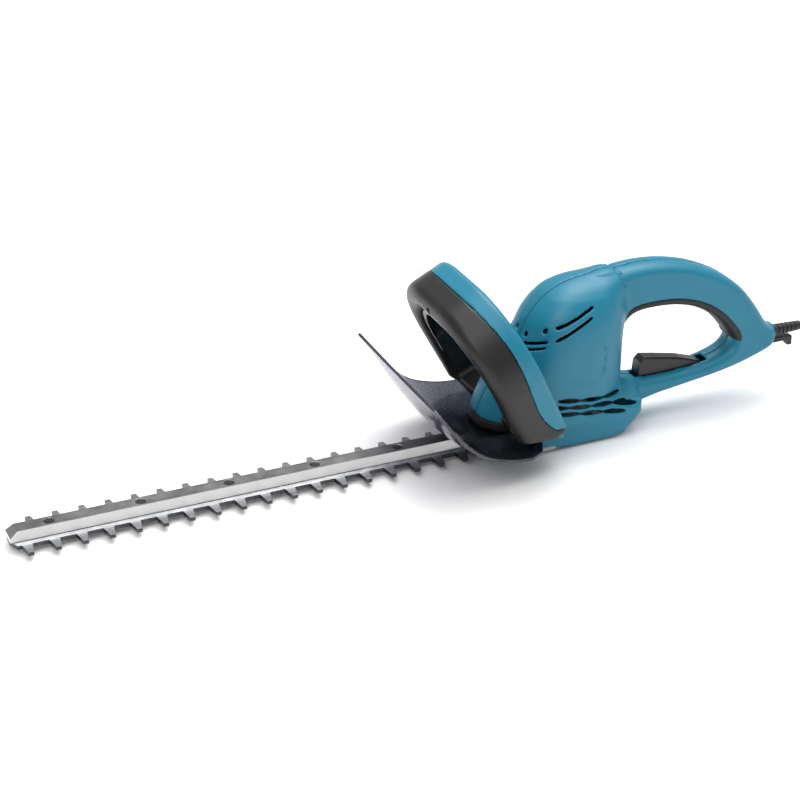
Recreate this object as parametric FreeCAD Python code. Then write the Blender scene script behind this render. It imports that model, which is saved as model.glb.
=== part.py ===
import FreeCAD, Part
import math
import os

# Corded hedge trimmer, millimetres. +X runs from the blade's tip back to the rear handle,
# +Y to the user's left, +Z up. The origin is on the flat underside that it rests on.

# ---- shear blades ----
TOOTH_PITCH = 26.0
TOOTH_COUNT = 18          # on the +Y side there is one fewer, half a pitch out of step
LAST_TOOTH_X = -118.0       # the rearmost near-side tooth
TIP_BEYOND_TOOTH = 14.0
BLADE_HALF_WIDTH = 17.5   # to the roots of the teeth
TOOTH_TIP_Y = 32.3
TOOTH_ROOT_HALF = 5.2
TOOTH_TIP_HALF = 2.6
BLADE_THICK = 2.0
BLADE_GAP = 0.2
LOWER_BLADE_Z = 5.9
STROKE_HALF = 6.5
TAIL_HALF_WIDTH = 23.5

# ---- guide bar and its bolts ----
BAR_BASE_HALF = 11.0
BAR_TOP_HALF = 8.0
BAR_HEIGHT = 9.6
BAR_REAR_X = -71.0
BOLT_FROM_TIP = 40.0
BOLT_SPACING = 89.0
BOLT_COUNT = 5
BOLT_R = 2.5
BOLT_HEAD_R = 5.5
NUT_ACROSS = 8.0
RUNNING_CLEARANCE = 0.3
FIT_CLEARANCE = 0.05

# ---- drive ----
GEAR_MODULE = 1.0
PINION_TEETH = 12
GEAR_TEETH = 72
GEAR_THICK = 8.0
GEAR_Z = 13.5
CRANK_X = -30.0
SHAFT_R = 4.0
ECCENTRIC_R = 11.0
BEARING_R = 11.0
BEARING_THICK = 7.0

# ---- gear case ----
CASE_WALL = 2.5
NOSE_FRONT_X = -104.0
NOSE_TOP_Z = 23.0
NOSE_HALF = 27.5
BASE_PLATE_THICK = 3.0
BASE_PLATE_HALF = 27.0
BASE_PLATE_FRONT_X = -100.0
BASE_PLATE_REAR_X = 40.0
PLATE_SCREW_R = 2.0

# ---- motor, upright behind the crank gear ----
CORE_R = 20.0
CORE_LENGTH = 46.0
STATOR_R = 36.0
STATOR_FLAT_HALF = 33.0
STATOR_Z = 62.0
STATOR_LENGTH = 48.0
AIR_GAP = 0.6
FAN_R = 35.0
FAN_Z = 41.0
FAN_BLADES = 11
COMMUTATOR_R = 12.0
COMMUTATOR_Z = 124.0
UPPER_BEARING_Z = 146.0

# ---- housing shells ----
WALL = 2.8
BODY_HALF_WIDTH = 47.0
BODY_TOP_Z = 171.5
GRIP_HALF_WIDTH = 18.5
GRIP_EDGE_IN = 9.0        # how far the grip's section draws in towards its sides
GRIP_EDGE_ACROSS = 14.0
BASE_HALF_WIDTH = 42.0
BASE_TOP_Z = 34.0
BASE_EDGE_R = 9.0
SLOT_WIDTH = 4.2
LINER_THICK = 3.8
SKIRT_REAR_X = -46.0      # black skirt round the blades' end of the housing
SKIRT_TOP_Z = 40.0
HOUSING_SCREW_R = 1.9
HOUSING_SCREW_HALF = 11.0
HOUSING_SCREWS = [(50, 150), (100, 152), (176, 132), (212, 96), (212, 56), (176, 44.5)]

# ---- rear trigger ----
TRIGGER_HALF_WIDTH = 7.5
TRIGGER_PIVOT_X = 160.0
TRIGGER_PIVOT_Z = 45.0
TRIGGER_PIN_R = 2.0
TRIGGER_PIN_SEAT = 3.5     # how far each end stands into its housing half

# ---- front loop handle ----
LOOP_LEAN = 27.0          # degrees, forwards
LOOP_ROOT_X = -54.0       # where its parting plane stands at LOOP_ROOT_Z
LOOP_ROOT_Z = 48.0
LOOP_HALF_WIDTH = 99.0
LEG_DRAW_IN = 9.0         # degrees that each leg comes in towards its foot
LOOP_HEIGHT = 153.0
LOOP_BAR = 25.0
LOOP_CORNER_R = 76.0
COVER_DEPTH = 30.0
SHELL_DEPTH = 21.0
LOOP_FOOT_Z = 44.0
CROSS_FOOT_Z = 35.5
TOE_R = 5.8
TOE_BACK = 14.0
TOE_LENGTH = 21.0
LEG_SCREW_UP = 26.0
LEVER_THICK = 6.0
LEVER_TRAVEL = 4.0
LEVER_GAP = 0.5
LEVER_LOW = 50.0          # where its two ends stop, up the loop

# ---- guard ----
GUARD_THICK = 3.0
GUARD_HALF_WIDTH = 92.0
GUARD_SCREW_R = 2.0
GUARD_SCREW_Z = 22.5

# ---- mains lead ----
CORD_D = 7.5
OUTLET_X = 253.0
OUTLET_Z = 65.0
BOOT_LENGTH = 36.0
BOOT_ROOT_R = 5.4
CORD_ROUTE = [
    (0, 0, 65), (20, 0, 65), (42, -1, 57), (63, -3, 42), (83, -8, 24), (104, -17, 10),
    (126, -33, 3.8), (141, -56, 3.8), (144, -83, 3.8), (133, -108, 3.8), (111, -125, 3.8),
    (84, -130, 3.8), (58, -126, 3.8),
]

V = FreeCAD.Vector
X_AXIS, Y_AXIS, Z_AXIS = V(1, 0, 0), V(0, 1, 0), V(0, 0, 1)
ARMATURE_X = CRANK_X + GEAR_MODULE * (PINION_TEETH + GEAR_TEETH) / 2
FIRST_TOOTH_X = LAST_TOOTH_X - TOOTH_PITCH * (TOOTH_COUNT - 1)
BLADE_TIP_X = FIRST_TOOTH_X - TIP_BEYOND_TOOTH
BOLT_FIRST_X = BLADE_TIP_X + BOLT_FROM_TIP
UPPER_BLADE_Z = LOWER_BLADE_Z + BLADE_THICK + BLADE_GAP
BAR_Z = UPPER_BLADE_Z + BLADE_THICK + RUNNING_CLEARANCE
BAR_TOP_Z = BAR_Z + BAR_HEIGHT
GEAR_R = GEAR_MODULE * GEAR_TEETH / 2
CAVITY_R = GEAR_R + GEAR_MODULE + 1.5
CAVITY_TOP_Z = GEAR_Z + GEAR_THICK + 3.0
ROOF_TOP_Z = CAVITY_TOP_Z + BEARING_THICK + 3.0
CASE_HALF = CAVITY_R + CASE_WALL
CORD_START_X = OUTLET_X + BOOT_LENGTH

built = {}


# ---------------------------------------------------------------- helpers

def box(x0, x1, y0, y1, z0, z1):
    return Part.makeBox(x1 - x0, y1 - y0, z1 - z0, V(x0, y0, z0))


def cylinder(r, height, at, axis=Z_AXIS):
    return Part.makeCylinder(r, height, at, axis)


def ring(r_out, r_in, height, at, axis=Z_AXIS):
    return cylinder(r_out, height, at, axis).cut(cylinder(r_in, height, at, axis))


def prism(points, along):
    """A closed polygon of vectors, pushed along a vector."""
    return Part.Face(Part.makePolygon(points + [points[0]])).extrude(along)


def side_prism(outline, y0, y1):
    return prism([V(x, y0, z) for x, z in outline], V(0, y1 - y0, 0))


def plan_prism(outline, z0, z1):
    return prism([V(x, y, z0) for x, y in outline], V(0, 0, z1 - z0))


def fused(shapes):
    first = shapes[0]
    return first.fuse(shapes[1:]).removeSplitter() if len(shapes) > 1 else first


def cut_all(shape, tools):
    return shape.cut(tools) if tools else shape


def group(shapes):
    return Part.makeCompound(shapes)


def smooth_outline(points, y):
    """A closed smooth curve through side-view points, as a wire at one Y."""
    curve = Part.BSplineCurve()
    curve.interpolate([V(x, y, z) for x, z in points], PeriodicFlag=True)
    return Part.Wire([curve.toShape()])


def hexagon(across, height, at):
    r = across / 2 / math.cos(math.pi / 6)
    corners = [
        V(at.x + r * math.cos(math.pi * k / 3), at.y + r * math.sin(math.pi * k / 3), at.z)
        for k in range(6)
    ]
    return prism(corners, V(0, 0, height))


def mirrored(shape):
    return shape.mirror(V(0, 0, 0), Y_AXIS)


def save(name, shape):
    solids = shape.Solids
    if not solids:
        raise ValueError(name + " has no solid")
    built[name] = shape
    kept = solids[0] if len(solids) == 1 else Part.makeCompound(solids)
    kept.exportStep("parts/" + name + ".step")
    print(name, len(solids), round(shape.Volume / 1000, 2), "cm3", shape.isValid())


# ---------------------------------------------------------------- cutting unit

def bolt_xs():
    return [BOLT_FIRST_X + BOLT_SPACING * k for k in range(BOLT_COUNT)]


def blade_outline():
    """Plan of one blade: the near teeth from tip to tail, then the far teeth back."""
    points = [(BLADE_TIP_X, -6.0), (BLADE_TIP_X + 5, -BLADE_HALF_WIDTH)]
    for k in range(TOOTH_COUNT):
        x = FIRST_TOOTH_X + TOOTH_PITCH * k
        points += tooth(x, -1, 1)
    points += [(NOSE_FRONT_X - 1, -BLADE_HALF_WIDTH), (NOSE_FRONT_X - 1, BLADE_HALF_WIDTH)]
    for k in reversed(range(TOOTH_COUNT - 1)):
        x = FIRST_TOOTH_X + TOOTH_PITCH * (k + 0.5)
        points += tooth(x, 1, -1)
    return points + [(BLADE_TIP_X + 5, BLADE_HALF_WIDTH), (BLADE_TIP_X, 6.0)]


def tooth(x, side, direction):
    root, tip = TOOTH_ROOT_HALF * direction, TOOTH_TIP_HALF * direction
    return [
        (x - root, side * BLADE_HALF_WIDTH), (x - tip, side * TOOTH_TIP_Y),
        (x + tip, side * TOOTH_TIP_Y), (x + root, side * BLADE_HALF_WIDTH),
    ]


def blade(z):
    """Toothed strip, slotted for the bolts, with a tail that has the eccentric's window."""
    window_x = ECCENTRIC_R + 2 * STROKE_HALF + 0.5
    window_y = ECCENTRIC_R + STROKE_HALF + 0.5
    strip = plan_prism(blade_outline(), z, z + BLADE_THICK)
    tail = box(NOSE_FRONT_X - 2, CRANK_X + window_x + 6, -TAIL_HALF_WIDTH, TAIL_HALF_WIDTH,
               z, z + BLADE_THICK)
    neck = box(NOSE_FRONT_X - 3, BAR_REAR_X - 12, -BLADE_HALF_WIDTH, BLADE_HALF_WIDTH,
               z, z + BLADE_THICK)
    tail = tail.cut(box(NOSE_FRONT_X - 3, BAR_REAR_X - 12, -50, 50, z - 1, z + 5)).fuse(neck)
    body = fused([strip, tail])
    reach = STROKE_HALF + 0.6
    slot_r = BOLT_R + RUNNING_CLEARANCE
    slots = [slot(x, reach, slot_r, z) for x in bolt_xs()]
    window = box(CRANK_X - window_x, CRANK_X + window_x, -window_y, window_y, z - 1, z + 5)
    return cut_all(body, slots + [window])


def slot(x, reach, r, z):
    ends = [cylinder(r, BLADE_THICK + 2, V(x + s * reach, 0, z - 1)) for s in (-1, 1)]
    middle = box(x - reach, x + reach, -r, r, z - 1, z + BLADE_THICK + 1)
    return fused([middle] + ends)


def guide_bar():
    section = [
        V(BLADE_TIP_X, -BAR_BASE_HALF, BAR_Z), V(BLADE_TIP_X, BAR_BASE_HALF, BAR_Z),
        V(BLADE_TIP_X, BAR_TOP_HALF, BAR_TOP_Z), V(BLADE_TIP_X, -BAR_TOP_HALF, BAR_TOP_Z),
    ]
    bar = prism(section, V(BAR_REAR_X - BLADE_TIP_X, 0, 0))
    nose = side_prism([(BLADE_TIP_X - 1, BAR_Z + 3), (BLADE_TIP_X - 1, BAR_TOP_Z + 1),
                       (BLADE_TIP_X + 9, BAR_TOP_Z + 1)], -20, 20)
    recess_r = NUT_ACROSS / 2 / math.cos(math.pi / 6) + 0.6
    holes = [cylinder(BOLT_R + FIT_CLEARANCE, 30, V(x, 0, BAR_Z - 5)) for x in bolt_xs()]
    seats = [cylinder(recess_r, 5, V(x, 0, BAR_TOP_Z - 3.5)) for x in bolt_xs()]
    return cut_all(bar, [nose] + holes + seats)


def blade_bolts():
    head_z = LOWER_BLADE_Z - RUNNING_CLEARANCE - 2
    top = BAR_TOP_Z - 0.6
    bolts = []
    for x in bolt_xs():
        shank = cylinder(BOLT_R, top - head_z, V(x, 0, head_z))
        bolts.append(shank.fuse(cylinder(BOLT_HEAD_R, 2, V(x, 0, head_z))))
    return group(bolts)


def blade_nuts():
    nuts = []
    for x in bolt_xs():
        at = V(x, 0, BAR_TOP_Z - 3.5)
        nut = hexagon(NUT_ACROSS, 2.8, at)
        nuts.append(nut.cut(cylinder(BOLT_R + FIT_CLEARANCE, 4, at)))
    return group(nuts)


# ---------------------------------------------------------------- gear drive

def gear_outline(teeth, x, y, turn, thin=0.40):
    """Straight-flanked teeth: root, flank, tip and flank of each, worked out by a loop."""
    pitch_r = GEAR_MODULE * teeth / 2
    root_r, tip_r = pitch_r - 1.2 * GEAR_MODULE, pitch_r + 0.95 * GEAR_MODULE
    pitch_angle = 2 * math.pi / teeth
    lean = math.tan(math.radians(20)) * GEAR_MODULE / pitch_r
    points = []
    for k in range(teeth):
        middle = turn + k * pitch_angle
        half = thin * pitch_angle / 2
        for r, angle in ((root_r, -half - lean), (tip_r, -half + lean),
                         (tip_r, half - lean), (root_r, half + lean)):
            points.append((x + r * math.cos(middle + angle), y + r * math.sin(middle + angle)))
    return points


def crank_gear():
    gap_towards_pinion = math.pi / GEAR_TEETH
    wheel = plan_prism(gear_outline(GEAR_TEETH, CRANK_X, 0, gap_towards_pinion),
                       GEAR_Z, GEAR_Z + GEAR_THICK)
    holes = []
    for k in range(6):
        a = math.pi * k / 3
        holes.append(cylinder(5, 20, V(CRANK_X + 22 * math.cos(a), 22 * math.sin(a), GEAR_Z - 5)))
    holes.append(cylinder(SHAFT_R + FIT_CLEARANCE, 20, V(CRANK_X, 0, GEAR_Z - 5)))
    return cut_all(wheel, holes)


def crankshaft():
    """Upright shaft with one eccentric for each blade, half a turn apart."""
    low = BASE_PLATE_THICK - 1.8
    top = CAVITY_TOP_Z + BEARING_THICK
    shaft = cylinder(SHAFT_R, top - low, V(CRANK_X, 0, low))
    upper = cylinder(ECCENTRIC_R, BLADE_THICK, V(CRANK_X, STROKE_HALF, UPPER_BLADE_Z))
    lower = cylinder(ECCENTRIC_R, BLADE_THICK, V(CRANK_X, -STROKE_HALF, LOWER_BLADE_Z))
    hub = cylinder(SHAFT_R + 3, GEAR_Z - 0.2 - LOWER_BLADE_Z, V(CRANK_X, 0, LOWER_BLADE_Z))
    collar = cylinder(SHAFT_R + 2, CAVITY_TOP_Z - GEAR_Z - GEAR_THICK - 0.6,
                      V(CRANK_X, 0, GEAR_Z + GEAR_THICK + 0.1))
    return fused([shaft, upper, lower, hub, collar])


def ball_bearing(r_out, r_in, thick, at):
    """Inner and outer races with a ring of balls between them."""
    race = (r_out - r_in) * 0.28
    ball_r = (r_out - r_in) * 0.20
    middle = (r_out + r_in) / 2
    outer = ring(r_out, r_out - race, thick, at)
    inner = ring(r_in + race, r_in, thick, at)
    cage = ring(middle + 0.5, middle - 0.5, thick * 0.5, at + V(0, 0, thick * 0.25))
    balls = []
    for k in range(8):
        a = math.pi * k / 4
        centre = at + V(middle * math.cos(a), middle * math.sin(a), thick / 2)
        balls.append(Part.makeSphere(ball_r, centre))
    return group([outer, inner, fused([cage] + balls)])


def gear_case():
    """Cast case: a nose that clamps the guide bar, a round gear chamber and a bearing roof."""
    floor = BASE_PLATE_THICK + 0.1
    nose = box(NOSE_FRONT_X, CRANK_X, -NOSE_HALF, NOSE_HALF, floor, NOSE_TOP_Z)
    chamber = cylinder(CASE_HALF, CAVITY_TOP_Z + 2.5 - floor, V(CRANK_X, 0, floor))
    rear = box(CRANK_X, ARMATURE_X + 16, -24, 24, floor, CAVITY_TOP_Z + 2.5)
    bosses = [cylinder(BEARING_R + 3.5, ROOF_TOP_Z - CAVITY_TOP_Z, V(x, 0, CAVITY_TOP_Z))
              for x in (CRANK_X, ARMATURE_X)]
    body = fused([nose, chamber, rear] + bosses)
    channel_top = UPPER_BLADE_Z + BLADE_THICK + 0.3
    channel = box(NOSE_FRONT_X - 1, CRANK_X + 38, -TAIL_HALF_WIDTH - 1, TAIL_HALF_WIDTH + 1,
                  floor - 1, channel_top)
    bar_slot = box(NOSE_FRONT_X - 1, BAR_REAR_X + 0.2, -BAR_BASE_HALF - 0.1, BAR_BASE_HALF + 0.1,
                   floor, BAR_TOP_Z + 0.1)
    gear_room = cylinder(CAVITY_R, CAVITY_TOP_Z - channel_top + 1, V(CRANK_X, 0, channel_top - 1))
    pinion_room = cylinder(9.0, CAVITY_TOP_Z - channel_top + 1, V(ARMATURE_X, 0, channel_top - 1))
    seats = []
    for x in (CRANK_X, ARMATURE_X):
        seats.append(cylinder(BEARING_R + FIT_CLEARANCE, BEARING_THICK + 0.1,
                              V(x, 0, CAVITY_TOP_Z - 0.1)))
    shaft_hole = cylinder(SHAFT_R + 1.5, 20, V(ARMATURE_X, 0, CAVITY_TOP_Z))
    return cut_all(body, [channel, bar_slot, gear_room, pinion_room, shaft_hole] + seats)


def base_plate():
    plate = plan_prism([(BASE_PLATE_FRONT_X, -18), (BASE_PLATE_FRONT_X + 10, -BASE_PLATE_HALF),
                        (BASE_PLATE_REAR_X, -BASE_PLATE_HALF), (BASE_PLATE_REAR_X, BASE_PLATE_HALF),
                        (BASE_PLATE_FRONT_X + 10, BASE_PLATE_HALF), (BASE_PLATE_FRONT_X, 18)],
                       0, BASE_PLATE_THICK)
    bush_hole = cylinder(SHAFT_R + 2 + FIT_CLEARANCE, 5, V(CRANK_X, 0, 1.0))
    holes = [cylinder(2.1, 10, V(x, y, -1)) for x, y in plate_screw_places()]
    return cut_all(plate, [bush_hole] + holes)


def plate_screw_places():
    return [(x, side * (NOSE_HALF - 2.5 - 1.5)) for x in (-84, 34) for side in (-1, 1)]


def plate_screws():
    return group([cylinder(PLATE_SCREW_R, BASE_PLATE_THICK - 0.4, V(x, y, 0.3))
                  for x, y in plate_screw_places()])


def lower_bush():
    return ring(SHAFT_R + 2, SHAFT_R + FIT_CLEARANCE, BASE_PLATE_THICK - 1.0, V(CRANK_X, 0, 1.0))


# ---------------------------------------------------------------- motor

def armature_shaft():
    """Steel shaft with its pinion cut on the lower end."""
    pinion = plan_prism(gear_outline(PINION_TEETH, ARMATURE_X, 0, math.pi),
                        GEAR_Z - 0.5, GEAR_Z + GEAR_THICK + 0.5)
    top = UPPER_BEARING_Z + 6
    shaft = cylinder(SHAFT_R - FIT_CLEARANCE, top - GEAR_Z, V(ARMATURE_X, 0, GEAR_Z))
    return fused([pinion, shaft])


def armature_core():
    """Laminated core with winding slots round its rim."""
    z = STATOR_Z + 1
    core = cylinder(CORE_R, CORE_LENGTH, V(ARMATURE_X, 0, z))
    slots = []
    for k in range(12):
        piece = box(CORE_R - 7, CORE_R + 1, -1.3, 1.3, z - 1, z + CORE_LENGTH + 1)
        piece.rotate(V(0, 0, 0), Z_AXIS, 30 * k)
        piece.translate(V(ARMATURE_X, 0, 0))
        slots.append(piece)
    bore = cylinder(SHAFT_R, CORE_LENGTH + 2, V(ARMATURE_X, 0, z - 1))
    return cut_all(core, slots + [bore])


def armature_windings():
    """Crowned copper end turns above and below the core."""
    rings = []
    for z in (STATOR_Z - 6.5, STATOR_Z + 1.2 + CORE_LENGTH):
        coil = ring(CORE_R - 2, SHAFT_R + 0.3, 7, V(ARMATURE_X, 0, z))
        rings.append(coil)
    return group(rings)


def commutator():
    drum = ring(COMMUTATOR_R, SHAFT_R, 15, V(ARMATURE_X, 0, COMMUTATOR_Z))
    riser = ring(COMMUTATOR_R + 2, SHAFT_R, 3, V(ARMATURE_X, 0, COMMUTATOR_Z - 3.1))
    return fused([drum, riser])


def cooling_fan():
    """Hub, back plate and straight vanes."""
    hub = ring(9, SHAFT_R, 11, V(ARMATURE_X, 0, FAN_Z))
    plate = ring(FAN_R, SHAFT_R, 2, V(ARMATURE_X, 0, FAN_Z + 9))
    vanes = []
    for k in range(FAN_BLADES):
        vane = box(8, FAN_R - 0.5, -0.9, 0.9, FAN_Z, FAN_Z + 9.5)
        vane.rotate(V(0, 0, 0), Z_AXIS, 360.0 * k / FAN_BLADES)
        vane.translate(V(ARMATURE_X, 0, 0))
        vanes.append(vane)
    return fused([hub, plate] + vanes)


def stator_core():
    at = V(ARMATURE_X, 0, STATOR_Z)
    stack = cylinder(STATOR_R, STATOR_LENGTH, at)
    flats = box(ARMATURE_X - 60, ARMATURE_X + 60, -STATOR_FLAT_HALF, STATOR_FLAT_HALF,
                STATOR_Z, STATOR_Z + STATOR_LENGTH)
    stack = stack.common(flats)
    room = cylinder(CORE_R + 7.5, STATOR_LENGTH, at)
    bore = cylinder(CORE_R + AIR_GAP, STATOR_LENGTH, at)
    poles = cylinder(CORE_R + 8.5, STATOR_LENGTH, at).common(
        box(ARMATURE_X - 60, ARMATURE_X + 60, -13, 13, STATOR_Z, STATOR_Z + STATOR_LENGTH))
    return fused([stack.cut(room), poles]).cut(bore)


def field_windings():
    """Two saddle coils, one each side, in the space between the poles."""
    coils = []
    for side in (-1, 1):
        room = ring(CORE_R + 7, CORE_R + 1.4, STATOR_LENGTH + 10, V(ARMATURE_X, 0, STATOR_Z - 5))
        keep = box(ARMATURE_X - 19, ARMATURE_X + 19, 13.6, 60, 0, 200)
        coils.append(room.common(keep if side > 0 else mirrored(keep)))
    return group(coils)


def fan_baffle():
    """Flat ring that parts the fan's air from the motor's."""
    z = FAN_Z + 13
    return ring(STATOR_R + 3.5, CORE_R + 3, 2.0, V(ARMATURE_X, 0, z))


def brush_holder():
    """Brass channel that points a brush at the commutator."""
    y0 = COMMUTATOR_R + 1.2
    tube = box(ARMATURE_X - 5, ARMATURE_X + 5, y0, y0 + 16, COMMUTATOR_Z + 1, COMMUTATOR_Z + 12)
    hole = box(ARMATURE_X - 3.6, ARMATURE_X + 3.6, y0 - 1, y0 + 15, COMMUTATOR_Z + 2.4,
               COMMUTATOR_Z + 10.6)
    return tube.cut(hole)


def brush():
    y0 = COMMUTATOR_R + 0.15
    block = box(ARMATURE_X - 3.5, ARMATURE_X + 3.5, y0, y0 + 10, COMMUTATOR_Z + 2.5,
                COMMUTATOR_Z + 10.5)
    return block.cut(cylinder(COMMUTATOR_R + 0.12, 40, V(ARMATURE_X, 0, COMMUTATOR_Z - 10)))


# ---------------------------------------------------------------- housing

def rounded_section(z, x0, x1, half, power=2.6):
    """A superellipse in plan, as a closed smooth wire."""
    cx, rx = (x0 + x1) / 2, (x1 - x0) / 2
    points = []
    for k in range(24):
        a = 2 * math.pi * k / 24
        c, s = math.cos(a), math.sin(a)
        points.append(V(cx + rx * math.copysign(abs(c) ** (2 / power), c),
                        half * math.copysign(abs(s) ** (2 / power), s), z))
    curve = Part.BSplineCurve()
    curve.interpolate(points, PeriodicFlag=True)
    return Part.Wire([curve.toShape()])


def motor_body(inset):
    """Egg-shaped upper body, lofted through level sections; inset makes its inside."""
    w = BODY_HALF_WIDTH
    levels = [
        (28 + inset, -97, 58, w - 5), (46, -91, 60, w - 2), (70, -79, 62, w - 1), (96, -61, 62, w),
        (119, -46, 62, w), (137, -37, 62, w - 3), (150, -27, 61, w - 8),
        (160, -15, 59, w - 15), (167 - inset, 1, 56, w - 25), (BODY_TOP_Z - inset, 18, 50, w - 37),
    ]
    wires = [rounded_section(z, x0 + inset, x1 - inset, h - inset) for z, x0, x1, h in levels]
    return Part.makeLoft(wires, True, False)


def base_body(inset):
    """Lower body that the tool stands on, rising behind to the lower arm of the handle."""
    half = BASE_HALF_WIDTH - inset
    top = BASE_TOP_Z + 8
    outline = [(-46, 0), (-46, BASE_TOP_Z), (60, top), (79, top - 2), (79, 24), (71, 15), (58, 3),
               (44, 0)]
    if inset:
        return side_prism(moved_outward(outline, -inset), -half, half)
    block = side_prism(outline, -half, half)
    edges = [e for e in block.Edges
             if e.BoundBox.ZMax < 26 and abs(abs(e.BoundBox.YMin) - half) < 0.1
             and e.BoundBox.YLength < 0.1 and e.BoundBox.XLength > 5]
    return block.makeFillet(BASE_EDGE_R, edges)


def handle_outline():
    """Outside of the closed rear handle in side view."""
    return [(34, 167), (60, 173), (89, 174.5), (118, 171.5), (149, 163), (180, 148), (206, 128),
            (225, 105), (239, 84), (249, 73), (252, 63), (246, 53), (224, 44.5), (198, 37.5),
            (172, 33), (134, 28), (108, 24.5), (84, 20), (58, 22), (36, 60), (28, 120)]


def hand_opening_outline():
    """The gap for the hand."""
    return [(61, 64), (61, 104), (66, 119), (79, 127.5), (104, 129), (130, 126), (154, 118),
            (175, 104.5), (191, 88), (200, 73), (193, 59.5), (165, 50.5), (130, 47.5), (96, 47.5),
            (69, 51)]


def moved_outward(outline, distance):
    """Side-view points moved along their own outward normals."""
    moved = []
    for i, (x, z) in enumerate(outline):
        x0, z0 = outline[i - 1]
        x1, z1 = outline[(i + 1) % len(outline)]
        n = math.hypot(x1 - x0, z1 - z0)
        moved.append((x - (z1 - z0) / n * distance, z + (x1 - x0) / n * distance))
    return moved


def rounded_side_body(outline, half, edge_in, edge_across, outward):
    """Side-view outline lofted across Y, drawn in (or let out) towards both sides."""
    wires = []
    for degrees in (-90, -60, -30, 0, 30, 60, 90):
        a = math.radians(degrees)
        y = math.sin(a) * edge_across + math.copysign(half - edge_across, a) * (degrees != 0)
        drawn = outward * edge_in * (1 - math.cos(a))
        wires.append(smooth_outline(moved_outward(outline, drawn), y))
    return Part.makeLoft(wires, True, False)


def handle_body(inset):
    half = GRIP_HALF_WIDTH - inset
    outer = rounded_side_body(moved_outward(handle_outline(), -inset), half,
                              GRIP_EDGE_IN, GRIP_EDGE_ACROSS, -1)
    inner = rounded_side_body(moved_outward(hand_opening_outline(), inset), half + 0.01,
                              GRIP_EDGE_IN, GRIP_EDGE_ACROSS, 1)
    return outer.cut(inner)


def outlet_cone(inset):
    """Tapered end of the handle that the mains lead leaves by."""
    start = OUTLET_X - 22
    return Part.makeCone(14 - inset, 9.5 - inset, 22, V(start, 0, OUTLET_Z), X_AXIS)


def vent_slot(x0, z0, x1, z1, side):
    """A round-ended slot through the side wall, between two side-view points."""
    length = math.hypot(x1 - x0, z1 - z0)
    angle = math.degrees(math.atan2(z1 - z0, x1 - x0))
    bar = box(0, length, 20, 60, -SLOT_WIDTH / 2, SLOT_WIDTH / 2)
    ends = [cylinder(SLOT_WIDTH / 2, 40, V(x, 20, 0), Y_AXIS) for x in (0, length)]
    shape = fused([bar] + ends)
    shape.rotate(V(0, 0, 0), Y_AXIS, -angle)
    shape.translate(V(x0, 0, z0))
    return shape if side > 0 else mirrored(shape)


def vent_slots(side):
    slots = [vent_slot(-28, 139, 12, 156, side), vent_slot(-27, 126, 11, 143, side)]
    slots += [vent_slot(-56, z, -35, z, side) for z in (122, 129, 136)]
    slots += [vent_slot(-20 + 14 * k, 52 + 1.5 * k, -12 + 14 * k, 56 + 1.5 * k, side)
              for k in range(5)]
    return slots


def housing():
    outer = fused([motor_body(0), base_body(0), handle_body(0), outlet_cone(0)])
    room = fused([motor_body(WALL), handle_body(WALL)])
    base_room = base_body(WALL)
    case_room = gear_case_room()
    cord_hole = cylinder(BOOT_ROOT_R + FIT_CLEARANCE, 60, V(OUTLET_X - 40, 0, OUTLET_Z), X_AXIS)
    trigger_slot = box(86, 172, -TRIGGER_HALF_WIDTH - 0.4, TRIGGER_HALF_WIDTH + 0.4, 40, 58)
    pin_seat = trigger_pin(FIT_CLEARANCE)
    shell = outer.cut([room, base_room, case_room, cord_hole, trigger_slot, cord_hook_seat()])
    posts = [cylinder(4.2, 120, V(x, -60, z), Y_AXIS) for x, z in HOUSING_SCREWS]
    threads = [cylinder(HOUSING_SCREW_R + FIT_CLEARANCE, 2 * HOUSING_SCREW_HALF + 1,
                        V(x, -HOUSING_SCREW_HALF - 0.5, z), Y_AXIS) for x, z in HOUSING_SCREWS]
    shell = shell.fuse([p.common(outer) for p in posts]).cut(threads + [pin_seat])
    skirt_room = box(-200, SKIRT_REAR_X, -100, 100, 0, SKIRT_TOP_Z)
    skirt = shell.common(skirt_room)
    shell = shell.cut(skirt_room)
    halves = {"front_skirt": max(skirt.Solids, key=lambda solid: solid.Volume)}
    for side, name in ((-1, "housing_right"), (1, "housing_left")):
        y0, y1 = (0, 200) if side > 0 else (-200, 0)
        half = shell.common(box(-300, 400, y0, y1, -50, 300)).cut(vent_slots(side))
        halves[name] = max(half.Solids, key=lambda s: s.Volume)
    return outer, halves


def housing_screws():
    return group([cylinder(HOUSING_SCREW_R, 2 * HOUSING_SCREW_HALF, V(x, -HOUSING_SCREW_HALF, z), Y_AXIS)
                  for x, z in HOUSING_SCREWS])


def gear_case_room():
    """Clear space for the case, the plate and the blades' ends, with a small gap all round."""
    gap = 0.3
    chamber = cylinder(CASE_HALF + gap, CAVITY_TOP_Z + 10, V(CRANK_X, 0, -1))
    nose = box(NOSE_FRONT_X - 10, CRANK_X, -NOSE_HALF - gap, NOSE_HALF + gap, -1, NOSE_TOP_Z + 8)
    plate = box(CRANK_X, BASE_PLATE_REAR_X + gap, -BASE_PLATE_HALF - gap, BASE_PLATE_HALF + gap,
                -1, BASE_PLATE_THICK + 30)
    return fused([chamber, nose, plate])


def grip_liner():
    """Rubber strip round the underside of the upper arm, seated on the opening's wall."""
    half = GRIP_HALF_WIDTH - 5
    outer = Part.Face(smooth_outline(hand_opening_outline(), -half))
    inner = Part.Face(smooth_outline(moved_outward(hand_opening_outline(), -LINER_THICK), -half))
    across = V(0, 2 * half, 0)
    band = outer.extrude(across).cut(inner.extrude(across))
    return band.common(box(62.5, 210, -40, 40, 74, 200))


# ---------------------------------------------------------------- rear trigger and switch

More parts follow.
